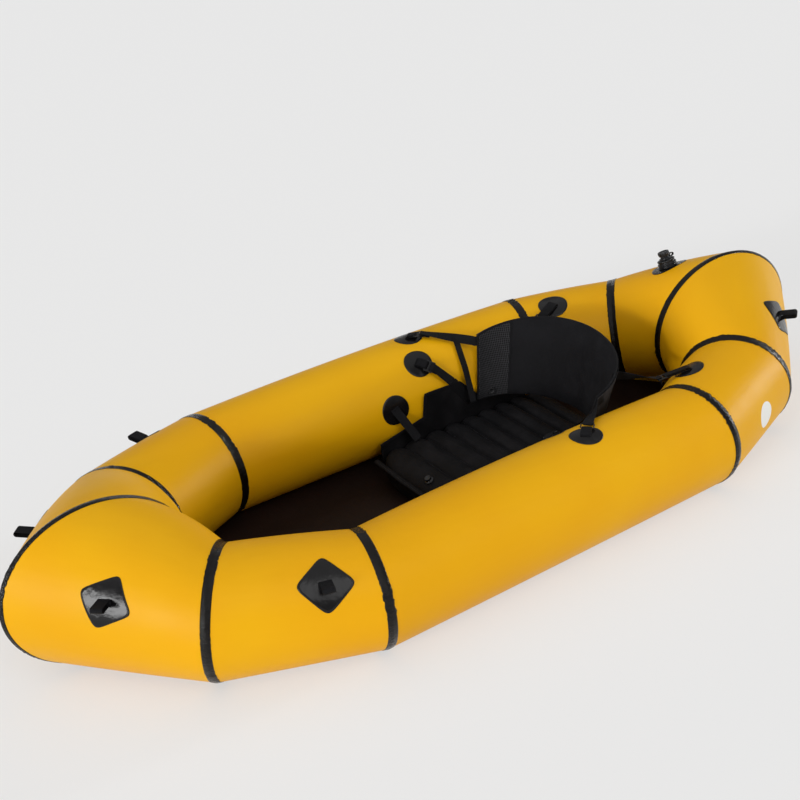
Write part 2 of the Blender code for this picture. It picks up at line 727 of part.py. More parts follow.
def main_valve():
    """Flange, screw-in body, cap and tether of the inflation valve on the stern."""
    origin = skin(STARBOARD, *MAIN_VALVE_SHARES)
    frame = axis_frame(origin, skin_normal(STARBOARD, *MAIN_VALVE_SHARES))
    flange = patch("valve_flange", STARBOARD, MAIN_VALVE_SHARES, VALVE_FLANGE_RADIUS, ROUND_POWER)
    low = PATCH_LIFT + VALVE_SEAT_SINK
    high = low + VALVE_COLLAR_HEIGHT
    profile = button_profile(VALVE_COLLAR_RADIUS, low, high, VALVE_LIP)
    join_on(flange, turned("valve_collar", profile, frame, VALVE_PLASTIC, cutters))
    low, high = high + CLEARANCE, high + CLEARANCE + VALVE_BODY_HEIGHT
    neck_top = high + VALVE_NECK_HEIGHT
    body = [
        (0.0, neck_top),
        (VALVE_NECK_RADIUS, neck_top),
        (VALVE_NECK_RADIUS, high),
        (VALVE_BODY_RADIUS - VALVE_LIP, high),
        (VALVE_BODY_RADIUS, high - VALVE_LIP),
        (VALVE_BODY_RADIUS, low),
        (0.0, low),
    ]
    turned("valve_insert", body, frame, VALVE_PLASTIC)
    tether(frame, high + CLEARANCE)
    low = neck_top + CLEARANCE
    cap = button_profile(VALVE_CAP_RADIUS, low, low + VALVE_CAP_HEIGHT, VALVE_LIP * 2)
    turned("valve_cap", cap, frame, VALVE_PLASTIC)


def tether(frame, low):
    """A ring round the valve's neck with a lug for the cap's cord at its side."""
    bore = VALVE_NECK_RADIUS + CLEARANCE
    rim = bore + TETHER_WIDTH
    high = low + TETHER_THICKNESS
    ring = turned("valve_tether", [(bore, high), (rim, high), (rim, low), (bore, low)], frame, VALVE_PLASTIC)
    middle = (0.0, rim + TETHER_LUG_REACH / 2 - CLEARANCE, (low + high) / 2 + TETHER_THICKNESS)
    size = (TETHER_LUG_WIDTH, TETHER_LUG_REACH, TETHER_THICKNESS * 3)
    lug = box("valve_tether_lug", frame, middle, size, VALVE_PLASTIC, cutters)
    join_on(ring, lug)


def seat_valve():
    """A small twist valve on the front slope of the foremost rib, near its middle."""
    ring = 1 / (SEAT_RIBS * RIB_RINGS)
    bearings = (math.pi / 2, math.pi / 2 + math.tau / SEAT_AROUND)
    crest, shoulder = (seat_point(ring, math.cos(bearing), math.sin(bearing)) for bearing in bearings)
    upward = (seat_point(ring * 2, 0.0, 1.0) - seat_point(0.0, 0.0, 1.0)).cross(shoulder - crest)
    frame = axis_frame(crest.lerp(shoulder, SEAT_VALVE_SHARE), upward)
    low, high = CLEARANCE, CLEARANCE + SEAT_VALVE_HEIGHT
    turned("seat_valve", button_profile(SEAT_VALVE_RADIUS, low, high, VALVE_LIP), frame, VALVE_PLASTIC)
    low, high = high + CLEARANCE, high + CLEARANCE + SEAT_VALVE_CAP_HEIGHT
    profile = button_profile(SEAT_VALVE_CAP_RADIUS, low, high, VALVE_LIP)
    turned("seat_valve_cap", profile, frame, VALVE_PLASTIC)


def back_valve():
    """A small valve at the lower inner corner of the starboard wing."""
    bearing, rise = -WING_START * BACK_VALVE_TURN_SHARE, BACK_VALVE_RISE_SHARE
    inward = -back_normal(bearing, rise)
    frame = axis_frame(back_point(bearing, rise) + inward * (WING_THICKNESS + CLEARANCE), inward)
    profile = button_profile(BACK_VALVE_RADIUS, 0.0, BACK_VALVE_HEIGHT, VALVE_LIP)
    turned("backrest_valve", profile, frame, VALVE_PLASTIC)


def between(start, end, steps):
    return [start.lerp(end, k / steps) for k in range(1, steps + 1)]


def strap_wides(frame, count, far_wide):
    """Width directions that turn evenly from the anchor's to the far end's."""
    near = frame.to_3x3() @ Vector((0.0, 1.0, 0.0))
    if near.dot(far_wide) < 0:
        far_wide = -far_wide
    return [near.lerp(far_wide, k / (count - 1)) for k in range(count)]


def local(frame, points):
    return [frame @ Vector((x, 0.0, z)) for x, z in points]


RUN_STEPS = 14


def branch_point(shares):
    """A point near the backrest's port pivot, which the hanging branch passes."""
    wide, forward, high = shares
    return Vector((BACK_BOTTOM_HALF_WIDTH * wide, PIVOT_Y - BACK_BOTTOM_DEPTH * forward, PIVOT_Z * high))


def upper_strap(side):
    """From a ring on the side tube to the top front corner of the backrest, with a hanging branch."""
    name = side_name(side)
    bearing, rise = UPPER_STRAP_END_SHARES
    off = WEBBING_THICKNESS / 2 + CLEARANCE * 2
    end = mirrored(back_point(bearing, rise) + back_normal(bearing, rise) * off, side)
    edge = mirrored(back_point(math.pi / 2, rise) + back_normal(math.pi / 2, rise) * off, side)
    frame = anchor_frame(side, UPPER_ANCHOR_SHARES, edge)
    anchor_patch(f"upper_patch_{name}", side, UPPER_ANCHOR_SHARES, frame, TAB_REACH, WIRE_TURN)
    strap_ring(f"upper_ring_{name}", frame)
    far_bar = TAB_REACH + RING_LENGTH
    near = local(frame, reversed(turn_points(far_bar, WIRE_TURN, 90, 270, TURN_STEPS)))
    near.insert(0, near[0] + (edge - near[-1]).normalized() * RETURN_LENGTH)
    route = near + between(near[-1], edge, RUN_STEPS) + [end]
    wides = strap_wides(frame, len(near), frame.to_3x3() @ Vector((0.0, 1.0, 0.0)))
    climb = mirrored(back_point(bearing, rise + STEP_SHARE) - back_point(bearing, rise - STEP_SHARE), side)
    wides += strap_wides(frame, RUN_STEPS, climb.normalized())
    wides.append(wides[-1])
    strap = ribbon(f"upper_strap_{name}", route, wides, WEBBING_WIDTH)
    branch_start = near[-1].lerp(edge, BRANCH_START_SHARE)
    bend, tip = (mirrored(branch_point(shares), side) for shares in (BRANCH_BEND_SHARES, BRANCH_END_SHARES))
    branch_route = [branch_start] + between(branch_start, bend, 2) + between(bend, tip, 2)
    wide = [Vector((0.0, 1.0, 0.0))] * len(branch_route)
    join_on(strap, ribbon(f"upper_branch_{name}", branch_route, wide, BRANCH_WIDTH, cutters))


def lock_strap(side, kind, spot, reach, far_route, far_wide, tail):
    """A patch, a ladder lock and the strap that runs through it, with its loose tail."""
    name = side_name(side)
    frame = anchor_frame(side, spot, far_route[0])
    anchor_patch(f"{kind}_patch_{name}", side, spot, frame, reach, BAR_TURN)
    ladder_lock(f"{kind}_lock_{name}", frame, reach)
    slot = reach - BAR_THICKNESS / 2 + BAR_THICKNESS + LOCK_SLOT + LOCK_CENTRE_BAR + LOCK_SLOT / 2
    top = BAR_THICKNESS / 2 + CLEARANCE + WEBBING_THICKNESS
    bend = frame @ Vector((slot, 0.0, top))
    ledge = frame @ Vector((slot + LOCK_SLOT / 2 + LOCK_LEDGE, 0.0, top))
    low = frame @ Vector((slot, 0.0, -BAR_THICKNESS))
    if kind == "rear":
        hang = [low + Vector((0.0, 0.0, -tail)), low]
    else:
        hang = [frame @ Vector((slot + tail, 0.0, -BAR_THICKNESS - WEBBING_THICKNESS)), low]
    route = hang + [bend, ledge]
    near_count = len(route)
    for stop, steps in zip(far_route, (RUN_STEPS, PLAIN_STEPS, PLAIN_STEPS)):
        route += between(route[-1], stop, steps)
    wides = strap_wides(frame, near_count, frame.to_3x3() @ Vector((0.0, 1.0, 0.0)))
    wides += strap_wides(frame, RUN_STEPS, far_wide)
    wides += [wides[-1]] * (len(route) - len(wides))
    ribbon(f"{kind}_strap_{name}", route, wides, WEBBING_WIDTH)


def lower_strap(side):
    """From the side tube over the top of the seat's side panel and down its inner face."""
    x = (SEAT_HALF_WIDTH - CLEARANCE - WEBBING_THICKNESS / 2) * side
    crest_y = SIDE_PANEL_STEP_Y + (SIDE_PANEL_TOP_Y - SIDE_PANEL_STEP_Y) * LOWER_STRAP_CREST_SHARE
    crest_z = SIDE_PANEL_STEP_Z + (SIDE_PANEL_TOP_Z - SIDE_PANEL_STEP_Z) * LOWER_STRAP_CREST_SHARE
    inner = Vector((x, crest_y, crest_z + LOWER_STRAP_CREST_RISE))
    crest = inner + Vector((side * SIDE_PANEL_THICKNESS * 2, 0.0, 0.0))
    tip = Vector((x, SIDE_PANEL_BEND_Y - LOWER_STRAP_END_INSET, PIVOT_Z))
    along = Vector((0.0, 1.0, 0.0))
    lock_strap(side, "lower", LOWER_ANCHOR_SHARES, TAB_REACH, [crest, inner, tip], along, LOWER_TAIL)


def rear_strap(side):
    """From the aft tube to the outer face of the backrest, with its tail hanging."""
    bearing, rise = REAR_STRAP_END_SHARES
    off = WEBBING_THICKNESS / 2 + CLEARANCE * 2
    edge = mirrored(back_point(bearing + STRAP_SEWN_LENGTH / BACK_TOP_HALF_WIDTH, rise)
                    + back_normal(bearing, rise) * off, side)
    tip = mirrored(back_point(bearing, rise) + back_normal(bearing, rise) * off, side)
    climb = mirrored(back_point(bearing, rise + STEP_SHARE) - back_point(bearing, rise - STEP_SHARE), side)
    lock_strap(side, "rear", REAR_ANCHOR_SHARES, REAR_TAB_REACH, [edge, tip], climb.normalized(), REAR_TAIL)


def front_strap(side):
    """A round patch on the tube's inner wall with a strap down to the seat's corner."""
    name = side_name(side)
    wide, back, high = FRONT_STRAP_END_SHARES
    tip = Vector((SEAT_HALF_WIDTH * wide * side, SEAT_FRONT_Y + SEAT_LENGTH * back, SEAT_HEIGHT * high))
    frame = anchor_frame(side, FRONT_ANCHOR_SHARES, tip)
    base = patch(f"front_patch_{name}", side, FRONT_ANCHOR_SHARES, ROUND_PATCH_RADIUS, ROUND_POWER)
    foot = [(-TAB_FOOT_LENGTH, -TAB_FOOT_DROP), (0.0, -TAB_FOOT_DROP), (TAB_FOOT_LENGTH, -TAB_FOOT_DROP / 2)]
    start = local(frame, foot)
    route = start + between(start[-1], tip, RUN_STEPS // 2)
    wides = strap_wides(frame, len(route), Vector((0.0, 1.0, 0.0)))
    join_on(base, ribbon(f"front_strap_{name}", route, wides, WEBBING_WIDTH, cutters))


for hull_side in (PORT, STARBOARD):
    suffix = side_name(hull_side)
    for hull_part in range(STERN + 1):
        hull_panel(hull_side, hull_part)
    for hull_part in range(STERN):
        tape_name = f"{PANEL_NAMES[hull_part]}_{PANEL_NAMES[hull_part + 1]}_tape_{suffix}"
        seam_tape(tape_name, (hull_side, hull_part, 1.0), (hull_side, hull_part + 1, 0.0))
    tie_down(f"bow_tie_down_{suffix}", hull_side, BOW_TIE_SHARES, BOW_TIE_TURN)
    tie_down(f"fore_tie_down_{suffix}", hull_side, FORE_TIE_SHARES, TIE_TURN)
    tie_down(f"stern_tie_down_{suffix}", hull_side, STERN_TIE_SHARES, TIE_TURN)
    upper_strap(hull_side)
    lower_strap(hull_side)
    rear_strap(hull_side)
    front_strap(hull_side)
    side_panel(hull_side)
    wing_gap = CLEARANCE / 2 / BACK_BOTTOM_HALF_WIDTH
    back_pillow(f"backrest_wing_{suffix}", hull_side * (WING_START + wing_gap), hull_side * math.pi / 2, 0.0,
                WING_RINGS, MESH_FABRIC)
seam_tape("bow_tape", (STARBOARD, BOW, 0.0), (PORT, BOW, 0.0))
seam_tape("stern_tape", (PORT, STERN, 1.0), (STARBOARD, STERN, 1.0))
floor_panel()
pillow("seat_cushion", SEAT_AROUND, SEAT_RIBS * RIB_RINGS + 2, seat_point, SEAT_FABRIC)
back_pillow("backrest_pad", -WING_START, WING_START, PAD_CROWN, PAD_RINGS, BACK_FABRIC)
main_valve()
seat_valve()
back_valve()
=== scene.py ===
from math import asin, atan2, copysign, cos, exp, hypot, pi, radians, sin, sqrt, tau

import bmesh
import bpy
from mathutils import Matrix, Vector, noise


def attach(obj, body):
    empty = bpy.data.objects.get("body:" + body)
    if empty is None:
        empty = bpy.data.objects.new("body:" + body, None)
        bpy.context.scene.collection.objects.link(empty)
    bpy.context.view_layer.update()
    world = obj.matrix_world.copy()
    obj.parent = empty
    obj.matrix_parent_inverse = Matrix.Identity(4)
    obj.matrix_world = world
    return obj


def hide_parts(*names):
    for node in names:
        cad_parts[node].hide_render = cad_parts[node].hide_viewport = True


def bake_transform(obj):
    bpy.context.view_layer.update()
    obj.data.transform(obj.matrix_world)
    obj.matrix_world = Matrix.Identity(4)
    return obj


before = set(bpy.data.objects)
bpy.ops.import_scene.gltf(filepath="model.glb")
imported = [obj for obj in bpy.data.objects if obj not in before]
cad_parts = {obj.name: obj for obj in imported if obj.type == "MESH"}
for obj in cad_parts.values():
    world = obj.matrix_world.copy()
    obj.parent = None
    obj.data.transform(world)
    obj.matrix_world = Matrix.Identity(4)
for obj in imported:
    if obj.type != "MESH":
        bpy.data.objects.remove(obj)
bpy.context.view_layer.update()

# The studio: a wide sheet of pale paper under the boat, an even sky of light, three soft lamps and two
# small hard ones. The camera stands off the port bow and looks down on the boat through a long lens.
X_AXIS, Y_AXIS, Z_AXIS = Vector((1.0, 0.0, 0.0)), Vector((0.0, 1.0, 0.0)), Vector((0.0, 0.0, 1.0))
WHITE = (1.0, 1.0, 1.0, 1.0)
CAMERA_PLACE = Vector((3.5326, -2.0593, 2.3991))
CAMERA_RIGHT = Vector((0.53875, 0.83324, -0.12437))
CAMERA_UP = Vector((-0.32405, 0.34122, 0.88236))
CAMERA_LENS_MM = 83.0
CAMERA_SENSOR_MM = 36.0
CAMERA_FARTHEST = 100.0
PAPER_REACH = 60.0
PAPER_Z = -0.0008
PAPER_COLOUR = (0.92, 0.92, 0.915, 1.0)
PAPER_GLOW = (0.85, 0.85, 0.85, 1.0)
PAPER_GLOW_SHARE = 0.62
SKY_STRENGTH = 0.27
LAMPS = (
    ("overhead_lamp", (0.10, 0.15, -1.0), 0.68, 90.0),
    ("bow_lamp", (-0.29, 0.935, -0.20), 1.47, 22.0),
    ("side_lamp", (-0.78, -0.05, -0.62), 0.66, 40.0),
    ("stern_lamp", (-0.13, -0.98, -0.12), 1.25, 7.0),
    ("glint_lamp", (-0.456, 0.848, -0.270), 0.45, 4.0),
)


def axes(origin, x_axis, y_axis, z_axis):
    return Matrix.Translation(origin) @ Matrix((x_axis, y_axis, z_axis)).transposed().to_4x4()


camera_data = bpy.data.cameras.new("camera")
camera_data.lens = CAMERA_LENS_MM
camera_data.sensor_width = CAMERA_SENSOR_MM
camera_data.clip_end = CAMERA_FARTHEST
camera = bpy.data.objects.new("camera", camera_data)
camera.matrix_world = axes(CAMERA_PLACE, CAMERA_RIGHT, CAMERA_UP, CAMERA_RIGHT.cross(CAMERA_UP))
scene = bpy.context.scene
scene.collection.objects.link(camera)
scene.camera = camera
scene.view_settings.view_transform = "Standard"

for lamp_name, beam, strength, spread in LAMPS:
    lamp_data = bpy.data.lights.new(lamp_name, "SUN")
    lamp_data.energy = strength
    lamp_data.angle = radians(spread)
    lamp = bpy.data.objects.new(lamp_name, lamp_data)
    lamp.rotation_euler = Vector(beam).to_track_quat("-Z", "Y").to_euler()
    scene.collection.objects.link(lamp)


class Shade:
    """A value on its way through a finish; sums and products of shades add their Math nodes."""

    def __init__(self, finish, socket):
        self.finish, self.socket = finish, socket

    def math(self, operation, *values):
        return self.finish.node("ShaderNodeMath", {"operation": operation}, dict(enumerate(values)))

    def __add__(self, other):
        return self.math("ADD", self, other)

    def __mul__(self, other):
        return self.math("MULTIPLY", self, other)

    def __rsub__(self, other):
        return self.math("SUBTRACT", other, self)

    __radd__, __rmul__ = __add__, __mul__

    def sin(self):
        return self.math("SINE", self)

    def abs(self):
        return self.math("ABSOLUTE", self)

    def wave(self, pitch):
        """A sine of this shade, one turn for each pitch."""
        return (self * (tau / pitch)).sin()

    def step(self, low, high):
        """Zero below low, one above high and smooth between them."""
        sockets = {"Value": self, "From Min": low, "From Max": high}
        return self.finish.node("ShaderNodeMapRange", {"interpolation_type": "SMOOTHSTEP"}, sockets)


class Finish:
    """A material for one finish of the boat. Plain sockets are set by name when it is made."""

    def __init__(self, name, **plain):
        self.material = bpy.data.materials.new(name)
        self.material.use_nodes = True
        self.tree = self.material.node_tree
        self.shader = self.tree.nodes["Principled BSDF"]
        for socket, value in plain.items():
            self.shader.inputs[socket.replace("_", " ")].default_value = value

    def node(self, kind, settings, sockets, out=0):
        made = self.tree.nodes.new(kind)
        for key, value in settings.items():
            setattr(made, key, value)
        for key, value in sockets.items():
            if isinstance(value, Shade):
                self.tree.links.new(value.socket, made.inputs[key])
            else:
                made.inputs[key].default_value = value
        return Shade(self, made.outputs[out])

    def set(self, **shades):
        for socket, shade in shades.items():
            self.tree.links.new(shade.socket, self.shader.inputs[socket.replace("_", " ")])

    def place(self):
        """The point of the object's own space, in metres."""
        return self.node("ShaderNodeTexCoord", {}, {}, "Object")

    def cloth(self):
        """Metres across and along the cloth, from the piece's own map."""
        split = self.node("ShaderNodeSeparateXYZ", {}, {0: self.node("ShaderNodeTexCoord", {}, {}, "UV")})
        return split, Shade(self, split.socket.node.outputs[1])

    def vector(self, x, y, z=0.0):
        return self.node("ShaderNodeCombineXYZ", {}, {0: x, 1: y, 2: z})

    def noise(self, where, scale, detail=2.0, roughness=0.5):
        sockets = {"Vector": where, "Scale": scale, "Detail": detail, "Roughness": roughness}
        return self.node("ShaderNodeTexNoise", {}, sockets)

    def mix(self, share, first, second):
        return self.node("ShaderNodeMix", {"data_type": "RGBA"}, {0: share, 6: first, 7: second}, 2)

    def bump(self, *layers):
        """Bumps laid over each other, each given as its height and its depth in metres."""
        normal = None
        for height, depth in layers:
            sockets = {"Height": height, "Distance": depth}
            if normal:
                sockets["Normal"] = normal
            normal = self.node("ShaderNodeBump", {}, sockets)
        self.set(Normal=normal)


def rgb(red, green, blue):
    """A colour as a screen shows it, 0 to 255, made linear."""
    shown = (value / 255 for value in (red, green, blue))
    return (*(v / 12.92 if v <= 0.04 else ((v + 0.055) / 1.055) ** 2.4 for v in shown), 1.0)


sky = bpy.data.worlds.new("sky")
sky.use_nodes = True
scene.world = sky
sky_light = sky.node_tree.nodes["Background"].inputs
sky_light["Color"].default_value = WHITE
sky_light["Strength"].default_value = SKY_STRENGTH

paper_bm = bmesh.new()
bmesh.ops.create_grid(paper_bm, x_segments=2, y_segments=2, size=PAPER_REACH / 2)
bmesh.ops.translate(paper_bm, verts=paper_bm.verts, vec=(0.0, 0.0, PAPER_Z))
paper_mesh = bpy.data.meshes.new("paper")
paper_bm.to_mesh(paper_mesh)
paper = bpy.data.objects.new("paper", paper_mesh)
scene.collection.objects.link(paper)
paper_finish = Finish("paper", Base_Color=PAPER_COLOUR, Roughness=0.9, Specular_IOR_Level=0.1)
rays = sum(paper_finish.node("ShaderNodeLightPath", {}, {}, f"Is {kind} Ray")
           for kind in ("Camera", "Glossy", "Transmission"))
glow = paper_finish.node("ShaderNodeEmission", {}, {"Color": PAPER_GLOW, "Strength": 1.0})
matt = Shade(paper_finish, paper_finish.shader.outputs["BSDF"])
lit = paper_finish.node("ShaderNodeMixShader", {}, {0: rays * PAPER_GLOW_SHARE, 1: matt, 2: glow})
paper_finish.tree.links.new(lit.socket, paper_finish.tree.nodes["Material Output"].inputs["Surface"])
paper_mesh.materials.append(paper_finish.material)


# The hull: ten panels of coated nylon, cut as cones and welded at mitres into one ring of tube, blown up
# hard. Each panel swells a little in its middle, and the cloth puckers where it is gathered into the welds.
BOW, FORE, SIDE, AFT, STERN = range(5)
PORT, STARBOARD = 1, -1
SIDES = (PORT, STARBOARD)
SIDE_NAMES = {PORT: "port", STARBOARD: "starboard"}
PANEL_NAMES = ("bow", "fore", "side", "aft", "stern")
PANEL_SWELLS = (0.012, 0.003, 0.009, 0.003, 0.009)
PANEL_ROWS = (34, 34, 76, 30, 34)
PANEL_COLUMNS = 168
PANEL_TRIM = 0.0003
SLOPE_STEP = 0.01
CLOTH_MERGE, PART_MERGE = 0.00001, 0.00002
RADII = (0.198, 0.154, 0.140, 0.134, 0.138, 0.189)
MITRE_X = (0.0, 0.259, 0.396, 0.369, 0.242, 0.0)
MITRE_RUNS = (0.0, 0.178, 0.308, 0.978, 0.257, 0.169)
STERN_FLATNESS = 0.968
CAD_HALF_SIDE = pi / 24
CLOTH_THICKNESS = 0.0012
FLOOR_THICKNESS = 0.0012
FLOOR_LIFT = 0.0014
GROUND_CLEAR = FLOOR_THICKNESS + FLOOR_LIFT
PUCKER_DEPTH = 0.0011
PUCKER_REACH = 0.020
HULL_YELLOW = rgb(233, 174, 8)
HULL_AMBER = rgb(229, 166, 6)
BADGE_SPOT = (AFT, 0.50, radians(2))
BADGE_RADIUS = 0.034
BADGE_WHITE = rgb(236, 236, 232)


def rough(x, y, z):
    """The noise at a point, from -1 to 1."""
    return noise.noise(Vector((x, y, z)))


def ring_rough(angle, scale, z):
    """Noise that runs on round a tube."""
    return rough(cos(angle) * scale, sin(angle) * scale, z)


def level(vector):
    return Vector((vector.x, vector.y, 0.0))


def tube_centres():
    """The tube's centreline at each mitre, from the bow to the stern."""
    bow_reach = RADII[0] * hypot(MITRE_X[1], MITRE_RUNS[1]) / MITRE_X[1]
    stern_reach = RADII[5] * STERN_FLATNESS * hypot(MITRE_X[4], MITRE_RUNS[5]) / MITRE_X[4]
    y = (bow_reach - stern_reach - sum(MITRE_RUNS)) / 2
    centres = []
    for x, run, radius in zip(MITRE_X, MITRE_RUNS, RADII):
        y += run
        centres.append(Vector((x, y, (radius + FLOOR_LIFT) * cos(CAD_HALF_SIDE) + FLOOR_THICKNESS)))
    return centres


CENTRES = tube_centres()


def mitre_arms(mitre):
    """The outward and upward arms of the tube's section at a mitre, on the port side."""
    runs = [level(b - a).normalized() for a, b in zip(CENTRES, CENTRES[1:])]
    rises = [(b.z - a.z) / level(b - a).length for a, b in zip(CENTRES, CENTRES[1:])]
    lean = 0.0
    if mitre == 0:
        travel = X_AXIS
    elif mitre > STERN:
        travel = Vector((-1.0, 0.0, 0.0))
    else:
        travel = (runs[mitre - 1] + runs[mitre]).normalized()
        lean = -(rises[mitre - 1] + rises[mitre]) / 2
    spread = 1 / travel.dot(runs[min(mitre, STERN)])
    if mitre > STERN:
        spread *= STERN_FLATNESS
    return Vector((travel.y, -travel.x, 0.0)) * spread, Z_AXIS + travel * lean


ARMS = [mitre_arms(mitre) for mitre in range(6)]


def mirrored(vector, side):
    return Vector((vector.x * side, vector.y, vector.z))


def skin(side, panel, share, angle, height=0.0):
    """A point on the hull, at a share of a panel's run and an angle up from its outer side."""
    axis, point = Vector(), Vector()
    for mitre, weight in ((panel, 1 - share), (panel + 1, share)):
        outward, upward = ARMS[mitre]
        arm = (outward * cos(angle) + upward * sin(angle)) * (RADII[mitre] + height)
        axis += CENTRES[mitre] * weight
        point += (CENTRES[mitre] + arm) * weight
    swell = PANEL_SWELLS[panel] * 4 * share * (1 - share) * (1 + sin(angle)) / 2
    point += (point - axis).normalized() * swell
    point.z = max(point.z, GROUND_CLEAR - height)
    return mirrored(point, side)


def slopes(surface, first, second):
    """How a surface runs at a point of it, for each unit of its first and of its second measure."""
    along = surface(first + SLOPE_STEP, second) - surface(first - SLOPE_STEP, second)
    around = surface(first, second + SLOPE_STEP) - surface(first, second - SLOPE_STEP)
    return along / (2 * SLOPE_STEP), around / (2 * SLOPE_STEP)


def skin_slopes(side, panel, share, angle):
    return slopes(lambda share, angle: skin(side, panel, share, angle), share, angle)


def skin_normal(side, panel, share, angle):
    along, around = skin_slopes(side, panel, share, angle)
    return along.cross(around).normalized() * side


def panel_run(panel, angle):
    """The panel's length along its surface at this angle."""
    return (skin(PORT, panel, 1.0, angle) - skin(PORT, panel, 0.0, angle)).length


def pucker(side, mitre, angle, distance):
    """Height of the cloth's puckers beside a weld: deepest where the cloth is gathered most."""
    seed = Vector((cos(angle), sin(angle), mitre * 3.7 + side * 1.3))
    fine = noise.noise(seed * 13.0) * 0.65 + noise.noise(seed * 27.0) * 0.35
    patchy = max(0.0, noise.noise(seed * 1.7 + Vector((5.0, 0.0, 0.0))) + 0.35)
    gathered = 0.30 + 0.70 * max(abs(cos(angle)) - 0.2, 0.0)
    return PUCKER_DEPTH * fine * patchy * gathered * exp(-((distance / PUCKER_REACH) ** 2))


def hull_point(side, panel, share, angle, height=0.0):
    """The skin with the puckers of both its welds."""
    run = panel_run(panel, angle)
    mitres = ((panel, share * run), (panel + 1, (1 - share) * run))
    relief = sum(pucker(side if 0 < mitre <= STERN else 0, mitre, angle, gap) for mitre, gap in mitres)
    return skin(side, panel, share, angle, height + relief)


def map_cloth(bm, spot):
    """Gives each corner its spot on the cloth's map, from its point."""
    uv = bm.loops.layers.uv.active or bm.loops.layers.uv.new("cloth")
    for face in bm.faces:
        for loop in face.loops:
            loop[uv].uv = spot(loop.vert.co)


def cloth_grid(columns, rows, place, width=1.0, length=1.0, spot=None, merge=CLOTH_MERGE):
    """A sheet whose corner (i, j) lies at place(i, j). Its map is even, in metres, or given by spot(i, j)."""
    bm = bmesh.new()
    bmesh.ops.create_grid(bm, x_segments=columns, y_segments=rows, size=1)

    def cell(point):
        return round((point.x + 1) / 2 * columns), round((point.y + 1) / 2 * rows)

    if spot:
        map_cloth(bm, lambda point: spot(*cell(point)))
    else:
        map_cloth(bm, lambda point: ((point.x + 1) / 2 * width, (point.y + 1) / 2 * length))
    for vert in bm.verts:
        vert.co = place(*cell(vert.co))
    bmesh.ops.remove_doubles(bm, verts=bm.verts, dist=merge)
    bm.normal_update()
    return bm


def face_out(bm):
    """Closes a mesh where it is open and turns its faces out."""
    ends = [edge for edge in bm.edges if edge.is_boundary]
    if ends:
        bmesh.ops.holes_fill(bm, edges=ends, sides=0)
    bm.normal_update()
    bmesh.ops.recalc_face_normals(bm, faces=bm.faces)
    return bm


def face_away(bm, inside):
    """Turns an open sheet's faces away from a point or line of points."""
    lean = 0.0
    for face in bm.faces:
        centre = face.calc_center_median()
        lean += face.normal.dot(centre - inside(centre)) * face.calc_area()
    if lean < 0:
        bmesh.ops.reverse_faces(bm, faces=bm.faces)
    bm.normal_update()
    return bm


def piece(name, bm, finish, body="hull", nodes=(), thickness=0.0):
    """Makes a finished piece of the boat, with its wall, its body and the CAD solids it stands for."""
    mesh = bpy.data.meshes.new(name)
    bm.to_mesh(mesh)
    bm.free()
    mesh.materials.append(finish.material)
    mesh.shade_smooth()
    made = bpy.data.objects.new(name, mesh)
    scene.collection.objects.link(made)
    if thickness:
        wall = made.modifiers.new("wall", "SOLIDIFY")
        wall.thickness = thickness
        wall.offset = -1
    if body:
        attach(made, body)
    if nodes:
        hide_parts(*nodes)
    return made


def coated_nylon(name, badge=None):
    """Yellow nylon with a satin coat: a fine plain weave, faint clouds in the dye and soft handling marks."""
    finish = Finish(name, Specular_IOR_Level=0.14)
    where = finish.place()
    across, along = finish.cloth()
    clouds = finish.noise(where, 2.2, 3.0).step(0.35, 0.68)
    dyed = finish.mix(clouds, HULL_YELLOW, HULL_AMBER)
    if badge:
        away = finish.node("ShaderNodeVectorMath", {"operation": "DISTANCE"}, {0: where, 1: badge}, 1)
        inside = 1.0 - away.step(BADGE_RADIUS - 0.0006, BADGE_RADIUS + 0.0002)
        dyed = finish.mix(inside, dyed, BADGE_WHITE)
    finish.set(Base_Color=dyed)
    rubbed = finish.noise(where, 9.0, 5.0, 0.62)
    finish.set(Roughness=0.38 + rubbed * 0.14)
    weave = across.wave(0.0011) * along.wave(0.0011)
    slack = finish.noise(finish.vector(across * 9.0, along * 5.0), 1.0, 3.0, 0.55)
    finish.bump((slack, 0.0030), (weave, 0.00002))
    return finish


nylon = coated_nylon("coated_nylon")
badged_nylon = coated_nylon("coated_nylon_with_badge", skin(PORT, *BADGE_SPOT))


def panel_share(j, rows):
    """Rows lie closer together toward both welds."""
    t = j / rows
    return t - 0.75 * sin(tau * t) / tau


def tube_axis(panel, side):
    start, end = mirrored(CENTRES[panel], side), mirrored(CENTRES[panel + 1], side)
    run = end - start
    return lambda point: start + run * ((point - start).dot(run) / run.length_squared)


for side in SIDES:
    for panel in range(5):
        rows = PANEL_ROWS[panel]
        trim = PANEL_TRIM / (CENTRES[panel + 1] - CENTRES[panel]).length

        def panel_place(i, j):
            share = trim + panel_share(j, rows) * (1 - 2 * trim)
            return hull_point(side, panel, share, tau * (i % PANEL_COLUMNS) / PANEL_COLUMNS)

        girth = tau * (RADII[panel] + RADII[panel + 1]) / 2
        run = (CENTRES[panel + 1] - CENTRES[panel]).length
        panel_bm = cloth_grid(PANEL_COLUMNS, rows, panel_place, girth, run)
        face_away(panel_bm, tube_axis(panel, side))
        name = f"{PANEL_NAMES[panel]}_panel_{SIDE_NAMES[side]}"
        cloth = badged_nylon if (side, panel) == (PORT, AFT) else nylon
        piece(f"{name}_cloth", panel_bm, cloth, nodes=[name], thickness=CLOTH_THICKNESS)


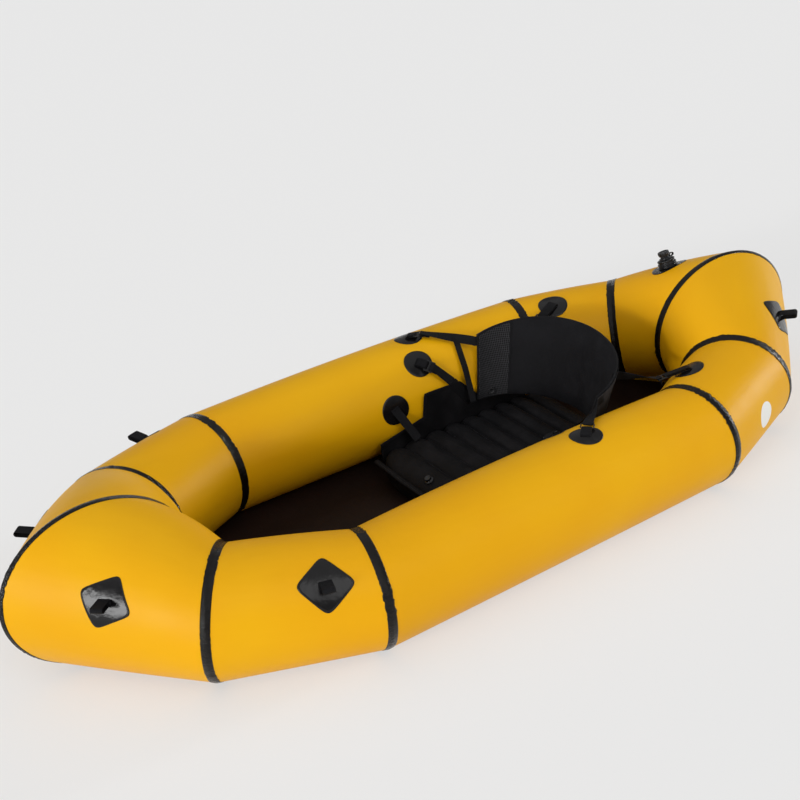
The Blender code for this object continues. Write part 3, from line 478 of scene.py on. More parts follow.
# The seam tapes: glossy black film, 24 mm wide, heat-welded over each mitre. The film crinkles a little
# where it bends round the tube, and its edges wander where the cloth under it was gathered.
TAPE_WIDTH = 0.024
TAPE_LIFT = 0.0003
TAPE_THICKNESS = 0.0008
TAPE_COLUMNS = 420
TAPE_ROWS = 8
CRINKLE_SHIFT = 0.0030
CRINKLE_RISE = 0.0016
TAPE_WANDER = 0.16
TAPE_EDGE_DROP = 0.6


def gloss_film():
    """Black film with a hard shine, broken by short creases across the tape."""
    finish = Finish("gloss_film", Specular_IOR_Level=0.22)
    around, across = finish.cloth()
    smear = finish.noise(finish.vector(around * 14.0, across * 60.0), 1.0, 3.0)
    finish.set(Base_Color=finish.mix(smear.step(0.35, 0.70), rgb(7, 5, 4), rgb(19, 14, 11)))
    crease = finish.noise(finish.vector(around * 210.0, across * 60.0), 1.0, 4.0, 0.6)
    patchy = finish.noise(finish.vector(around * 5.0, 0.0), 1.0, 1.0).step(0.28, 0.50)
    finish.set(Roughness=0.05 + smear * 0.10)
    grain = finish.noise(finish.vector(around * 500.0, across * 500.0), 1.0)
    finish.bump((crease * patchy, 0.0036), (grain, 0.0001))
    return finish


film = gloss_film()


def seam_tape(name, before, after):
    """A tape over a mitre; before and after are each a side, a panel and the mitre's share on it."""
    mitre = before[1] + 1 if before[2] else before[1]
    seam_side = before[0] if 0 < mitre <= STERN else 0

    def place(i, j):
        angle = tau * (i % TAPE_COLUMNS) / TAPE_COLUMNS
        wander = ring_rough(angle, 9, mitre * 2.1 + seam_side)
        loose = max(0.0, ring_rough(angle, 2, mitre + 9.0) + 0.1)
        half = TAPE_WIDTH / 2 * (1 + TAPE_WANDER * wander * loose)
        crinkle = ring_rough(angle, 17, mitre * 3.7 + seam_side)
        crinkle += 0.6 * ring_rough(angle, 36, mitre + j * 0.25)
        crinkle *= min(1.0, 2.5 * loose)
        distance = (2 * j / TAPE_ROWS - 1) * half + CRINKLE_SHIFT * crinkle
        side, panel, end = before if distance < 0 else after
        share = abs(end - abs(distance) / panel_run(panel, angle))
        edge = 1 - TAPE_EDGE_DROP * abs(2 * j / TAPE_ROWS - 1) ** 6
        height = TAPE_LIFT + TAPE_THICKNESS * edge + CRINKLE_RISE * max(0.0, crinkle)
        return skin(side, panel, share, angle, height + pucker(seam_side, mitre, angle, abs(distance)))

    bm = cloth_grid(TAPE_COLUMNS, TAPE_ROWS, place, tau * RADII[mitre], TAPE_WIDTH)
    centre = mirrored(CENTRES[mitre], before[0])
    face_away(bm, lambda point: centre)
    piece(f"{name}_film", bm, film, nodes=[name], thickness=TAPE_THICKNESS * 0.6)


for side in SIDES:
    for panel in range(4):
        name = f"{PANEL_NAMES[panel]}_{PANEL_NAMES[panel + 1]}_tape_{SIDE_NAMES[side]}"
        seam_tape(name, (side, panel, 1.0), (side, panel + 1, 0.0))
seam_tape("bow_tape", (STARBOARD, BOW, 0.0), (PORT, BOW, 0.0))
seam_tape("stern_tape", (PORT, STERN, 1.0), (STARBOARD, STERN, 1.0))


# The floor: one sheet of dark coated nylon, flat on the ground between the tubes and welded up their outer
# sides. Inside the cockpit it lies in slack, shallow folds that the seat holds down.
FLOOR_WRAP = radians(7.5)
FLOOR_WRAP_COLUMNS = 2
FLOOR_FLAT_COLUMNS = 44
FLOOR_ROWS = 150
FLOOR_FOLD = 0.0065
FOLD_WIDTH = 0.80
FOLD_STARTS = ((-0.10, -0.12), (0.50, 0.08))
FLOOR_HUG = 0.85
FLOOR_EDGE_RISE = 0.026
FLOOR_EDGE_REACH = 0.18
TUBE_RADIUS = RADII[SIDE]
FLOOR_MAP = (0.95, 2.2)


def floor_cloth():
    """Dark coated nylon with a brown cast, creased from being rolled."""
    finish = Finish("floor_cloth", Roughness=0.60, Specular_IOR_Level=0.20)
    where = finish.place()
    clouds = finish.noise(where, 5.0, 4.0).step(0.3, 0.75)
    finish.set(Base_Color=finish.mix(clouds, rgb(20, 8, 4), rgb(30, 15, 9)))
    across, along = finish.cloth()
    weave = across.wave(0.0012) * along.wave(0.0012)
    crease = finish.noise(where, 14.0, 5.0, 0.6)
    finish.bump((crease, 0.0040), (weave, 0.00003))
    return finish


def floor_place(i, j):
    """A corner of the floor. Its folds rise ahead of the seat and behind it, each from a start over a run."""
    t = j / FLOOR_ROWS * 5
    panel = min(int(t), STERN)
    share = t - panel
    wrap, flat = FLOOR_WRAP_COLUMNS, FLOOR_FLAT_COLUMNS
    side = PORT if i <= wrap + flat / 2 else STARBOARD
    column = min(i, 2 * wrap + flat - i)
    angle = -pi / 2 + FLOOR_WRAP * max(0.0, 1 - column / wrap)
    point = skin(side, panel, share, angle, GROUND_CLEAR)
    point.z = max(point.z, 0.0)
    if column > wrap:
        cross = (i - wrap) / flat
        edge = abs(point.x)
        point.x = edge * (1 - 2 * cross)
        inner = max(0.0, 1 - (abs(2 * cross - 1) / FOLD_WIDTH) ** 6) * max(0.0, 1 - abs(t / 2.5 - 1) ** 5)
        clear = max(0.0, min(1.0, max((point.y - start) / run for start, run in FOLD_STARTS)))
        wrinkle = rough(point.x * 5, point.y * 8, 1.0) + 0.5 * noise.noise(point * 19)
        point.z += FLOOR_FOLD * inner * clear * max(0.0, 0.35 + wrinkle)
        off_line = min(edge - abs(point.x), FLOOR_EDGE_REACH)
        under_tube = FLOOR_HUG * (TUBE_RADIUS - sqrt(TUBE_RADIUS ** 2 - min(off_line, TUBE_RADIUS) ** 2))
        fading = FLOOR_EDGE_RISE * (1 - (off_line / FLOOR_EDGE_REACH) ** 2) ** 2
        point.z += min(under_tube, fading)
    return point


floor_columns = 2 * FLOOR_WRAP_COLUMNS + FLOOR_FLAT_COLUMNS
floor_bm = cloth_grid(floor_columns, FLOOR_ROWS, floor_place, *FLOOR_MAP)
face_away(floor_bm, lambda point: Vector((0.0, 0.0, 5.0)))
floor = piece("floor_sheet", floor_bm, floor_cloth(), nodes=["floor_panel"],
              thickness=FLOOR_THICKNESS * 0.8)


# The patches: black coated cloth, welded flat on the tube, with a fine raised rim. Tie-downs are squares of
# 98 mm with a loop of 30 mm webbing sewn through the middle; the strap anchors are discs of 80 mm.
PATCH_LIFT = 0.0006
PATCH_THICKNESS = 0.0010
PATCH_CELLS = 40
PATCH_EDGE_DROP = 0.55
TIE_PATCH_WIDTH = 0.098
ROUND_PATCH_RADIUS = 0.040
WEBBING_WIDTH = 0.025
WEBBING_THICKNESS = 0.0016
BOW_TIE = (BOW, 0.525, radians(28))
FORE_TIE = (FORE, 0.675, radians(42))
STERN_TIE = (STERN, 0.425, radians(32))


def patch_cloth():
    """Black polymer-coated cloth with a soft shine, paler and duller along its welded rim."""
    finish = Finish("patch_cloth", Specular_IOR_Level=0.30)
    across, along = finish.cloth()
    rim = across.math("MAXIMUM", across.abs(), along.abs())
    smear = finish.noise(finish.place(), 40.0, 3.0)
    finish.set(Base_Color=finish.mix(smear, rgb(10, 9, 10), rgb(22, 21, 22)))
    finish.set(Roughness=0.13 + smear * 0.12 + rim.step(0.90, 1.0) * 0.2)
    weave = finish.noise(finish.place(), 700.0, 1.0)
    finish.bump((rim.step(0.90, 0.94) * -1.0, 0.0003), (smear, 0.0012), (weave, 0.00006))
    return finish


def woven_webbing(name, dark, pale):
    """Nylon webbing: close ribs across its width, their crests painted paler as highlight and their grooves
    darker as shade, with two firm edges.
    """
    finish = Finish(name, Specular_IOR_Level=0.12)
    across, along = finish.cloth()
    slant = (along + across.abs() * 0.8).wave(0.0026)
    cords = across.wave(0.0021) * 0.5 + 0.5
    worn = finish.noise(finish.place(), 60.0, 3.0).step(0.4, 0.8)
    # Painted highlight and shade: the ribs' crests are paler and their grooves darker; the worn patches are
    # random wear.
    finish.set(Base_Color=finish.mix((slant * 0.5 + 0.5) * 0.6 + worn * 0.3, dark, pale))
    finish.set(Roughness=0.62 + worn * 0.2)
    finish.bump((slant * cords, 0.00035))
    return finish


patch_finish = patch_cloth()
webbing = woven_webbing("woven_webbing", rgb(8, 8, 10), rgb(34, 34, 37))


def centred(i, j):
    """A patch's map, from -1 to 1 both ways."""
    return 2 * i / PATCH_CELLS - 1, 2 * j / PATCH_CELLS - 1


def patch(name, side, spot, half_size, power, turn, finish, nodes):
    """A welded patch: round at power 2, a square with round corners at a higher power."""
    panel, share, angle = spot
    along, around = skin_slopes(side, panel, share, angle)

    def place(i, j):
        p, q = centred(i, j)
        bearing = atan2(q, p)
        ring = max(abs(p), abs(q))
        reach = (abs(cos(bearing)) ** power + abs(sin(bearing)) ** power) ** (-1 / power)
        spread = half_size * ring * reach
        own_share = share + spread * cos(bearing + turn) / along.length
        own_angle = angle + spread * sin(bearing + turn) / around.length
        lift = PATCH_LIFT + PATCH_THICKNESS * (1 - PATCH_EDGE_DROP * ring ** 30)
        return skin(side, panel, own_share, own_angle, lift)

    bm = cloth_grid(PATCH_CELLS, PATCH_CELLS, place, spot=centred)
    centre = mirrored(CENTRES[panel].lerp(CENTRES[panel + 1], share), side)
    face_away(bm, lambda point: centre)
    piece(name, bm, finish, nodes=nodes, thickness=PATCH_THICKNESS * 0.5)


def section(count, width, thickness):
    """The outline of a webbing's cross section, with rounded edges, as width and thickness offsets."""
    points = []
    for k in range(count):
        bearing = tau * k / count
        c, s = cos(bearing), sin(bearing)
        points.append((copysign(abs(c) ** 0.5, c) * width / 2, copysign(abs(s) ** 0.5, s) * thickness / 2))
    return points


SECTION_POINTS = 20


def flow(points, steps):
    """A smooth line through points, with the given number of steps between each two."""
    smooth = []
    for k in range(len(points) - 1):
        before, here = points[max(k - 1, 0)], points[k]
        after, beyond = points[k + 1], points[min(k + 2, len(points) - 1)]
        for t in (step / steps for step in range(steps)):
            leaving, arriving = 0.5 * (t * (1 - t) ** 2), 0.5 * (t * t * (t - 1))
            smooth.append(here * (1 + t * t * (2 * t - 3)) + after * (t * t * (3 - 2 * t))
                          + (after - before) * leaving + (beyond - here) * arriving)
    return smooth + [points[-1]]


def run_lengths(path):
    """The length of a path up to each of its points."""
    lengths = [0.0]
    for a, b in zip(path, path[1:]):
        lengths.append(lengths[-1] + (b - a).length)
    return lengths


def webbing_bm(route, wides, width=WEBBING_WIDTH, closed=False, thickness=WEBBING_THICKNESS):
    """A strap of webbing along a route, with its width along the given directions."""
    outline = section(SECTION_POINTS, width, thickness)
    last = len(route) - 1
    lengths = run_lengths(route)

    def place(i, j):
        if closed:
            tangent = (route[(j + 1) % last] - route[(j - 1) % last]).normalized()
        else:
            tangent = (route[min(j + 1, last)] - route[max(j - 1, 0)]).normalized()
        wide = (wides[j] - tangent * wides[j].dot(tangent)).normalized()
        across, over = outline[i % SECTION_POINTS]
        return route[j] + wide * across + tangent.cross(wide) * over

    def spot(i, j):
        return outline[i % SECTION_POINTS][0], lengths[j]

    return face_out(cloth_grid(SECTION_POINTS, last, place, spot=spot, merge=PART_MERGE))


def lay(place, path):
    """The points of a flat path, along the place's X and up its Z."""
    return [place @ Vector((x, 0.0, z)) for x, z in path]


def bend(x, radius, start, end, steps=10):
    """Points of a bend of webbing round a bar at this x."""
    angles = [radians(start + (end - start) * k / steps) for k in range(steps + 1)]
    return [Vector((x + radius * cos(a), radius * sin(a))) for a in angles]


LOOP_WIDTH = 0.030
LOOP_LENGTH = 0.040
LOOP_HALF_GAP = 0.0062
LOOP_RISE = radians(5)
LOOP_FOOT = 0.0016
LOOP_FOOT_REACH = 0.008


def tie_loop(name, side, spot):
    """A loop of webbing that stands level, straight out from its patch."""
    up = skin_normal(side, *spot)
    wide = Z_AXIS.cross(up).normalized()
    place = axes(skin(side, *spot), wide.cross(up), wide, up)
    swing = asin(up.z) - LOOP_RISE
    out = Vector((sin(swing), cos(swing)))
    across = Vector((out.y, -out.x))
    start = Vector((0.0, LOOP_FOOT + LOOP_HALF_GAP))
    low, high = start - across * LOOP_HALF_GAP, start + across * LOOP_HALF_GAP
    path = [Vector((LOOP_FOOT_REACH, LOOP_FOOT)), Vector((-LOOP_FOOT_REACH, LOOP_FOOT)), low]
    path += [low + out * LOOP_LENGTH * k / 6 for k in range(1, 5)]
    for point in reversed(bend(LOOP_LENGTH, LOOP_HALF_GAP, -90, 90)):
        path.append(start + out * (point.x - LOOP_HALF_GAP) - across * point.y)
    path += [high + out * (LOOP_LENGTH * k / 6) for k in (4, 3, 2)]
    path += [high + out * LOOP_HALF_GAP, path[0]]
    bm = webbing_bm(lay(place, path), [wide] * len(path), LOOP_WIDTH, closed=True)
    piece(name, bm, webbing)


for side in SIDES:
    for kind, spot, turn in (("bow", BOW_TIE, 30), ("fore", FORE_TIE, 42), ("stern", STERN_TIE, 42)):
        name = f"{kind}_tie_down_{SIDE_NAMES[side]}"
        patch(f"{name}_patch", side, spot, TIE_PATCH_WIDTH / 2, 7, radians(turn), patch_finish, [name])
        tie_loop(f"{name}_loop", side, spot)


# The strap anchors: four round patches on each side tube. The upper one holds a wire ring in a folded tab
# of webbing, the lower and rear ones hold ladder locks, and the front one has its strap sewn straight on.
CLEARANCE = 0.0003
UPPER_ANCHOR = (SIDE, 0.650, radians(86))
LOWER_ANCHOR = (SIDE, 0.620, radians(128))
FRONT_ANCHOR = (SIDE, 0.500, radians(167))
REAR_ANCHOR = (AFT, 0.355, radians(110))
TAB_HEIGHT = 0.0056
TAB_FOOT_DROP = 0.0036
TAB_FOOT_LENGTH = 0.008
TAB_RISE = radians(6)
TAB_REACH = 0.020
REAR_TAB_REACH = 0.060
BAR_THICKNESS = 0.0030
RING_WIRE_RADIUS = 0.0016
WIRE_SIDES = 14
LOCK_ROUNDING = 0.0007
RING_LENGTH = 0.017
RING_CORNER = 0.003
WIRE_TURN = RING_WIRE_RADIUS + CLEARANCE * 2 + WEBBING_THICKNESS / 2
BAR_TURN = BAR_THICKNESS * sqrt(2) / 2 + CLEARANCE + WEBBING_THICKNESS / 2
PIVOT = Vector((0.0, 0.279, 0.118))
BACK_HALF_WIDTHS = (0.2235, 0.262)
BACK_DEPTHS = (0.161, 0.183)
BACK_LEAN = 0.046
BACK_END_HEIGHT = 0.164
BACK_ARCH = 0.048


def moulded_nylon():
    """Black injection-moulded nylon: an even fine grain, its shine varying in soft random patches."""
    finish = Finish("moulded_nylon", Base_Color=rgb(16, 16, 18), Specular_IOR_Level=0.4)
    where = finish.place()
    worn = finish.noise(where, 90.0, 3.0)
    finish.set(Roughness=0.30 + worn * 0.25)
    finish.bump((finish.noise(where, 1800.0, 1.0), 0.00006))
    return finish


moulded = moulded_nylon()


def back_point(bearing, rise, inset=0.0):
    """A point of the backrest: bearing from the stern, share of its height, depth under its outer face."""
    half_width = BACK_HALF_WIDTHS[0] + (BACK_HALF_WIDTHS[1] - BACK_HALF_WIDTHS[0]) * rise - inset
    depth = BACK_DEPTHS[0] + (BACK_DEPTHS[1] - BACK_DEPTHS[0]) * rise - inset
    y = PIVOT.y + BACK_LEAN * rise + depth * cos(bearing)
    z = PIVOT.z + (BACK_END_HEIGHT + BACK_ARCH * cos(bearing)) * rise
    return Vector((half_width * sin(bearing), y, z))


def back_normal(bearing, rise):
    sideways, upward = slopes(back_point, bearing, rise)
    return upward.cross(sideways).normalized()


def sewn_point(side, bearing, rise, shift=0.0):
    """Where a strap's middle line lies on the backrest; shift moves it back round the edge of the seam."""
    off = WEBBING_THICKNESS / 2 + CLEARANCE * 2
    return mirrored(back_point(bearing + shift, rise) + back_normal(bearing, rise) * off, side)


def back_climb(side, bearing, rise):
    """The way up the backrest's outer face."""
    return mirrored(slopes(back_point, bearing, rise)[1], side).normalized()


def anchor_axes(side, spot, far):
    """Axes of a strap's anchor: X runs toward the strap's far end, Y along the webbing's width."""
    foot, up = skin(side, *spot), skin_normal(side, *spot)
    run = far - foot
    run = (run - up * run.dot(up)).normalized()
    wide = up.cross(run)
    rising = run * cos(TAB_RISE) + up * sin(TAB_RISE)
    return axes(foot + up * TAB_HEIGHT, rising, wide, rising.cross(wide))


def tab(name, place, reach, turn_radius):
    """Webbing folded round a bar and sewn down on its patch."""
    wide = place.col[1].to_3d()
    foot, sewn = Vector((0.0, -TAB_FOOT_DROP)), TAB_FOOT_LENGTH / 2
    low = [Vector((sewn + (reach - sewn) * k / 6, -turn_radius)) for k in range(6)]
    high = [Vector((reach * (1 - k / 6), turn_radius)) for k in range(1, 6)]
    path = [foot] + low + bend(reach, turn_radius, -90, 90) + high
    path += [Vector((0.0, turn_radius)), Vector((-TAB_FOOT_LENGTH, -TAB_FOOT_DROP)), foot]
    bm = webbing_bm(lay(place, path), [wide] * len(path), closed=True)
    piece(name, bm, webbing)


def wire_ring(name, place, body, node):
    """A rectangular ring of moulded nylon with round corners."""
    half = WEBBING_WIDTH / 2 + RING_CORNER + CLEARANCE
    path = []
    for number, (x, y) in enumerate(((RING_LENGTH, -half), (RING_LENGTH, half), (0.0, half), (0.0, -half))):
        centre = Vector([v - RING_CORNER if v > 0 else v + RING_CORNER for v in (x, y)])
        for k in range(7):
            bearing = radians(90 * number - 90 + 15 * k)
            path.append(centre + Vector((cos(bearing), sin(bearing))) * RING_CORNER)
    count = len(path)

    def ring_place(i, j):
        before, here, after = (path[(i + k) % count] for k in (-1, 0, 1))
        run = (after - before).normalized()
        bearing = tau * j / WIRE_SIDES
        point = here + Vector((run.y, -run.x)) * RING_WIRE_RADIUS * cos(bearing)
        return place @ Vector((TAB_REACH + point.x, point.y, RING_WIRE_RADIUS * sin(bearing)))

    bm = face_out(cloth_grid(count, WIRE_SIDES, ring_place, 0.08, 0.01))
    piece(name, bm, moulded, body, [node])


def ladder_lock(node):
    """A moulded ladder lock from its CAD solid, with its edges rounded."""
    bm = bmesh.new()
    bm.from_mesh(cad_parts[node].data)
    bmesh.ops.remove_doubles(bm, verts=bm.verts, dist=PART_MERGE)
    bmesh.ops.dissolve_limit(bm, angle_limit=radians(2), verts=bm.verts, edges=bm.edges)
    sharp = [edge for edge in bm.edges if edge.is_manifold and edge.calc_face_angle() > radians(30)]
    bmesh.ops.bevel(bm, geom=sharp, offset=LOCK_ROUNDING, segments=3, profile=0.5, affect="EDGES",
                    material=-1, clamp_overlap=True)
    bm.normal_update()
    piece(f"{node}_frame", bm, moulded, nodes=[node])


# The straps: 25 mm webbing. On each side an upper strap and a branch of it hold the backrest's front edge,
# a lower strap holds the seat's side panel, a rear strap holds the backrest from behind and a front strap
# holds the seat.
RUN_STEPS = 14
RING_SHARE = 0.30
FORK_SHARE = 0.62
BRANCH_WIDTH = 0.018
RETURN_LENGTH = 0.024
LOCK_SLOT = 0.0056
LOCK_CENTRE_BAR = 0.0040
LOCK_LEDGE = 0.0060
SEAT_HALF_WIDTH = 0.231
SEAT_FRONT_Y = -0.055
SEAT_LENGTH = 0.524
SEAT_HEIGHT = 0.086
UPPER_SEAM = (radians(82), 0.90)
REAR_SEAM = (radians(48), 0.86)
REAR_SEAM_LENGTH = 0.020
BRANCH_KNEE = (1.065, -0.106, 1.797)
BRANCH_TIP = (0.877, -0.180, 1.100)
LOWER_STRAP_STOPS = ((0.214, 0.192), (0.262, 0.118))
LOWER_STRAP_BOW = 0.004
FRONT_STRAP_END = (0.831, 0.227, 1.070)
LOWER_TAIL, REAR_TAIL = 0.022, 0.013


def line(start, end, steps):
    return [start.lerp(end, k / steps) for k in range(1, steps + 1)]


def anchor_patch(kind, side, spot):
    name = f"{kind}_patch_{SIDE_NAMES[side]}"
    patch(f"{name}_disc", side, spot, ROUND_PATCH_RADIUS, 2, 0.0, patch_finish, [name])


def turning(near, count, far):
    """Width directions that turn evenly from the near end's to the far end's."""
    if near.dot(far) < 0:
        far = -far
    return [near.lerp(far, k / (count - 1)) for k in range(count)]


def strap(name, route, wides, nodes, width=WEBBING_WIDTH, ends=None):
    """A strap along its route. With no ends it rides the hull; with ends it rides no body and stays where it
    is made, and the ends' points are not used.
    """
    made = piece(name, webbing_bm(route, wides, width), webbing, None if ends else "hull", nodes)
    if ends:
        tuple(ends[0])
        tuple(ends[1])
        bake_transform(made)


def upper_strap(side):
    """The strap from a wire ring to the backrest, made as its turn round the ring, its webbing and a branch.
    """
    name = SIDE_NAMES[side]
    edge = sewn_point(side, pi / 2, UPPER_SEAM[1])
    place = anchor_axes(side, UPPER_ANCHOR, edge)
    anchor_patch("upper", side, UPPER_ANCHOR)
    tab(f"upper_tab_{name}", place, TAB_REACH, WIRE_TURN)
    wire_ring(f"upper_ring_{name}_wire", place, f"upper_ring_{name}", f"upper_ring_{name}")
    near = lay(place, bend(TAB_REACH + RING_LENGTH, WIRE_TURN, 270, 90, 6))
    near.insert(0, near[0] + (edge - near[-1]).normalized() * RETURN_LENGTH)
    route = flow(near + line(near[-1], edge, RUN_STEPS) + [sewn_point(side, *UPPER_SEAM)], 3)
    wide = place.col[1].to_3d()
    wides = [wide] * len(near) + turning(wide, RUN_STEPS, back_climb(side, *UPPER_SEAM))
    wides = flow(wides + wides[-1:], 3)
    shared = near[-1].lerp(edge, RING_SHARE)
    cut = min(range(len(route) // 3, len(route)), key=lambda k: (route[k] - shared).length)
    strap(f"upper_strap_{name}_turn", route[:cut + 1], wides[:cut + 1], [], ends=(near[-1], route[cut]))
    ends = (route[cut], edge)
    strap(f"upper_strap_{name}_webbing", route[cut:], wides[cut:], [f"upper_strap_{name}"], ends=ends)
    fork = near[-1].lerp(edge, FORK_SHARE)
    knee, tip = (Vector((BACK_HALF_WIDTHS[0] * x * side, PIVOT.y + BACK_DEPTHS[0] * y, PIVOT.z * z))
                 for x, y, z in (BRANCH_KNEE, BRANCH_TIP))
    branch = flow([fork] + line(fork, knee, 3) + line(knee, tip, 4), 3)
    strap(f"upper_branch_{name}", branch, [Y_AXIS] * len(branch), [], BRANCH_WIDTH, ends)


def lock_strap(side, kind, spot, reach, stops, far_wide, tail):
    """A strap from its ladder lock to the given stops, with its tail hanging from the lock."""
    name = SIDE_NAMES[side]
    rear = kind == "rear"
    place = anchor_axes(side, spot, stops[0])
    anchor_patch(kind, side, spot)
    tab(f"{kind}_tab_{name}", place, reach, BAR_TURN)
    ladder_lock(f"{kind}_lock_{name}")
    slot = reach + BAR_THICKNESS / 2 + LOCK_SLOT * 1.5 + LOCK_CENTRE_BAR
    top = BAR_THICKNESS / 2 + CLEARANCE + WEBBING_THICKNESS
    flat = [(slot + tail, -BAR_THICKNESS - WEBBING_THICKNESS), (slot, -BAR_THICKNESS), (slot, top),
            (slot + LOCK_SLOT / 2 + LOCK_LEDGE, top)]
    route = lay(place, flat)
    if rear:
        route[0] = route[1] - Z_AXIS * tail
    start = route[-1]
    wide = place.col[1].to_3d()
    wides = [wide] * len(route) + turning(wide, RUN_STEPS, far_wide)
    for stop, steps in zip(stops, (RUN_STEPS, 2, 2)):
        route += line(route[-1], stop, steps)
    wides += wides[-1:] * (len(route) - len(wides))
    strap(f"{kind}_strap_{name}_webbing", flow(route, 3), flow(wides, 3), [f"{kind}_strap_{name}"],
          ends=(start, stops[0]) if rear else None)


for side in SIDES:
    upper_strap(side)
    x = (SEAT_HALF_WIDTH - CLEARANCE - WEBBING_THICKNESS / 2) * side
    inner, end = (Vector((x, y, z)) for y, z in LOWER_STRAP_STOPS)
    stops = [inner + X_AXIS * LOWER_STRAP_BOW * side, inner, end]
    lock_strap(side, "lower", LOWER_ANCHOR, TAB_REACH, stops, Y_AXIS, LOWER_TAIL)
    shift = REAR_SEAM_LENGTH / BACK_HALF_WIDTHS[1]
    stops = [sewn_point(side, *REAR_SEAM, shift), sewn_point(side, *REAR_SEAM)]
    lock_strap(side, "rear", REAR_ANCHOR, REAR_TAB_REACH, stops, back_climb(side, *REAR_SEAM), REAR_TAIL)
    x, y, z = FRONT_STRAP_END
    tip = Vector((SEAT_HALF_WIDTH * x * side, SEAT_FRONT_Y + SEAT_LENGTH * y, SEAT_HEIGHT * z))
    place = anchor_axes(side, FRONT_ANCHOR, tip)
    anchor_patch("front", side, FRONT_ANCHOR)
    foot = ((-TAB_FOOT_LENGTH, -TAB_FOOT_DROP), (0.0, -TAB_FOOT_DROP), (TAB_FOOT_LENGTH, -TAB_FOOT_DROP / 2))
    route = lay(place, foot)
    route += line(route[-1], tip, RUN_STEPS // 2)
    wides = turning(place.col[1].to_3d(), len(route), Y_AXIS)
    strap(f"front_strap_{SIDE_NAMES[side]}", flow(route, 3), flow(wides, 3), [])


# The seat: an inflatable cushion of matt black nylon with nine ribs from side to side, welded down in the
# channels between them. The front rib is the widest, both sides rise, and the cloth wrinkles across each
# channel.
SEAT_RIBS = 9
RIB_SPREAD = 0.83
SEAT_CHANNEL = 0.016
SEAT_SIDE_PULL = 0.007
SEAT_SIDE_RISE = 0.012
SEAT_UNDERCUT = 0.006
RIB_ROUNDNESS = 0.62
ROW_CROWDING = 0.55
SEAT_BASE_Z = FLOOR_THICKNESS + CLEARANCE
SEAT_AROUND = 220
SEAT_ROWS = 260


def matt_nylon(name, dark, pale, pitch=0.0009):
    """Matt black packcloth: a close plain weave with its crests painted a little paler as highlight, and
    random patches of dusty bloom.
    """
    finish = Finish(name, Specular_IOR_Level=0.12)
    where = finish.place()
    across, along = finish.cloth()
    weave = across.wave(pitch) * along.wave(pitch)
    bloom = finish.noise(where, 16.0, 4.0, 0.6).step(0.35, 0.75)
    # Painted highlight: the weave's crests are a little paler; the bloom patches lie at random.
    finish.set(Base_Color=finish.mix(bloom * 0.8 + weave * 0.12, dark, pale))
    finish.set(Roughness=0.62 + bloom * 0.18)
    rumple = finish.noise(where, 34.0, 4.0, 0.55)
    finish.bump((rumple, 0.0022), (weave, 0.00008))
    return finish


seat_cloth = matt_nylon("seat_cloth", rgb(13, 13, 15), rgb(30, 29, 31))


def bent(value, power):
    """Bends a circle's coordinate toward a square's."""
    return copysign(abs(value) ** (2 / power), value)


def seat_place(i, j):
    even = 2 * j / SEAT_ROWS - 1
    t = sin(pi / 2 * even) * ROW_CROWDING + even * (1 - ROW_CROWDING)
    run = (1 + t) / 2
    share = run ** (1 / RIB_SPREAD)
    closing = max(0.0, 1 - abs(t) ** 8) ** (1 / 8)
    bearing = tau * (i % SEAT_AROUND) / SEAT_AROUND
    across, upward = bent(cos(bearing), 4), bent(sin(bearing), 4)
    wobble = 0.006 * rough(across * 2.2, share * 3, 2.0)
    swell = abs(sin(pi * SEAT_RIBS * (share + wobble * 0.4))) ** RIB_ROUNDNESS
    x = across * (SEAT_HALF_WIDTH - SEAT_SIDE_PULL * (1 - swell)) * closing
    rise = SEAT_SIDE_RISE * (x / SEAT_HALF_WIDTH) ** 2
    height = SEAT_HEIGHT - SEAT_CHANNEL * (1 - swell) + rise + SEAT_UNDERCUT
    z = SEAT_BASE_Z - SEAT_UNDERCUT + height * (1 + upward * closing) / 2
    drawn = (1 - swell) * max(0.0, upward)
    gather = rough(x * 55, share * 6, 0.0) * 0.0024 * drawn
    rumple = rough(x * 16, share * 42, 4.0) * 0.0022 * max(0.0, upward)
    z += (gather + rumple) * closing
    return Vector((x, SEAT_FRONT_Y + SEAT_LENGTH * run, max(z, SEAT_BASE_Z)))


seat_bm = face_out(cloth_grid(SEAT_AROUND, SEAT_ROWS, seat_place, 1.1, SEAT_LENGTH))
seat = piece("seat_cushion_cover", seat_bm, seat_cloth, nodes=["seat_cushion"])

# Each end of the cushion has a flat welded hem that stands out and droops a little, with a line of stitches
# along it, and another line of stitches runs along the middle of every channel.
HEM_REACH = 0.013
HEM_RISE = 0.70
HEM_DROP = 0.004
HEM_COLUMNS = 160
HEM_ROWS = 4
HEM_INSET = 0.016
HEM_THICKNESS = 0.0012
STITCH_SHARE = 0.86
STITCH_STEPS = 80
STITCH_LENGTH = 0.0042
STITCH_PITCH = 0.0068
THREAD_RADIUS = 0.0005
thread = Finish("thread", Base_Color=rgb(52, 52, 56), Roughness=0.6)


def stitches(name, path):
    """Short raised stitches along a path on the seat, as low rounded beads of thread."""
    lengths = run_lengths(path)
    bm = bmesh.new()
    k = 0
    for number in range(int(lengths[-1] / STITCH_PITCH)):
        at = (number + 0.5) * STITCH_PITCH
        while lengths[k + 1] < at and k < len(path) - 2:
            k += 1
        run = (path[k + 1] - path[k]).normalized()
        middle = path[k] + run * (at - lengths[k])
        normal = (Z_AXIS - run * run.z).normalized()
        size = Matrix.Diagonal((STITCH_LENGTH / 2, THREAD_RADIUS, THREAD_RADIUS, 1.0))
        matrix = axes(middle, run, normal.cross(run), normal) @ size
        bmesh.ops.create_icosphere(bm, subdivisions=1, radius=1.0, matrix=matrix)
    piece(name, bm, thread)


def hem_point(end_y, outward, x, share):
    rise = SEAT_BASE_Z + SEAT_HEIGHT * HEM_RISE + SEAT_SIDE_RISE * (x / SEAT_HALF_WIDTH) ** 2
    droop = HEM_DROP * share + 0.0035 * share * rough(x * 17, outward, 7.0)
    return Vector((x, end_y + outward * (HEM_REACH * share - 0.001), rise - droop))


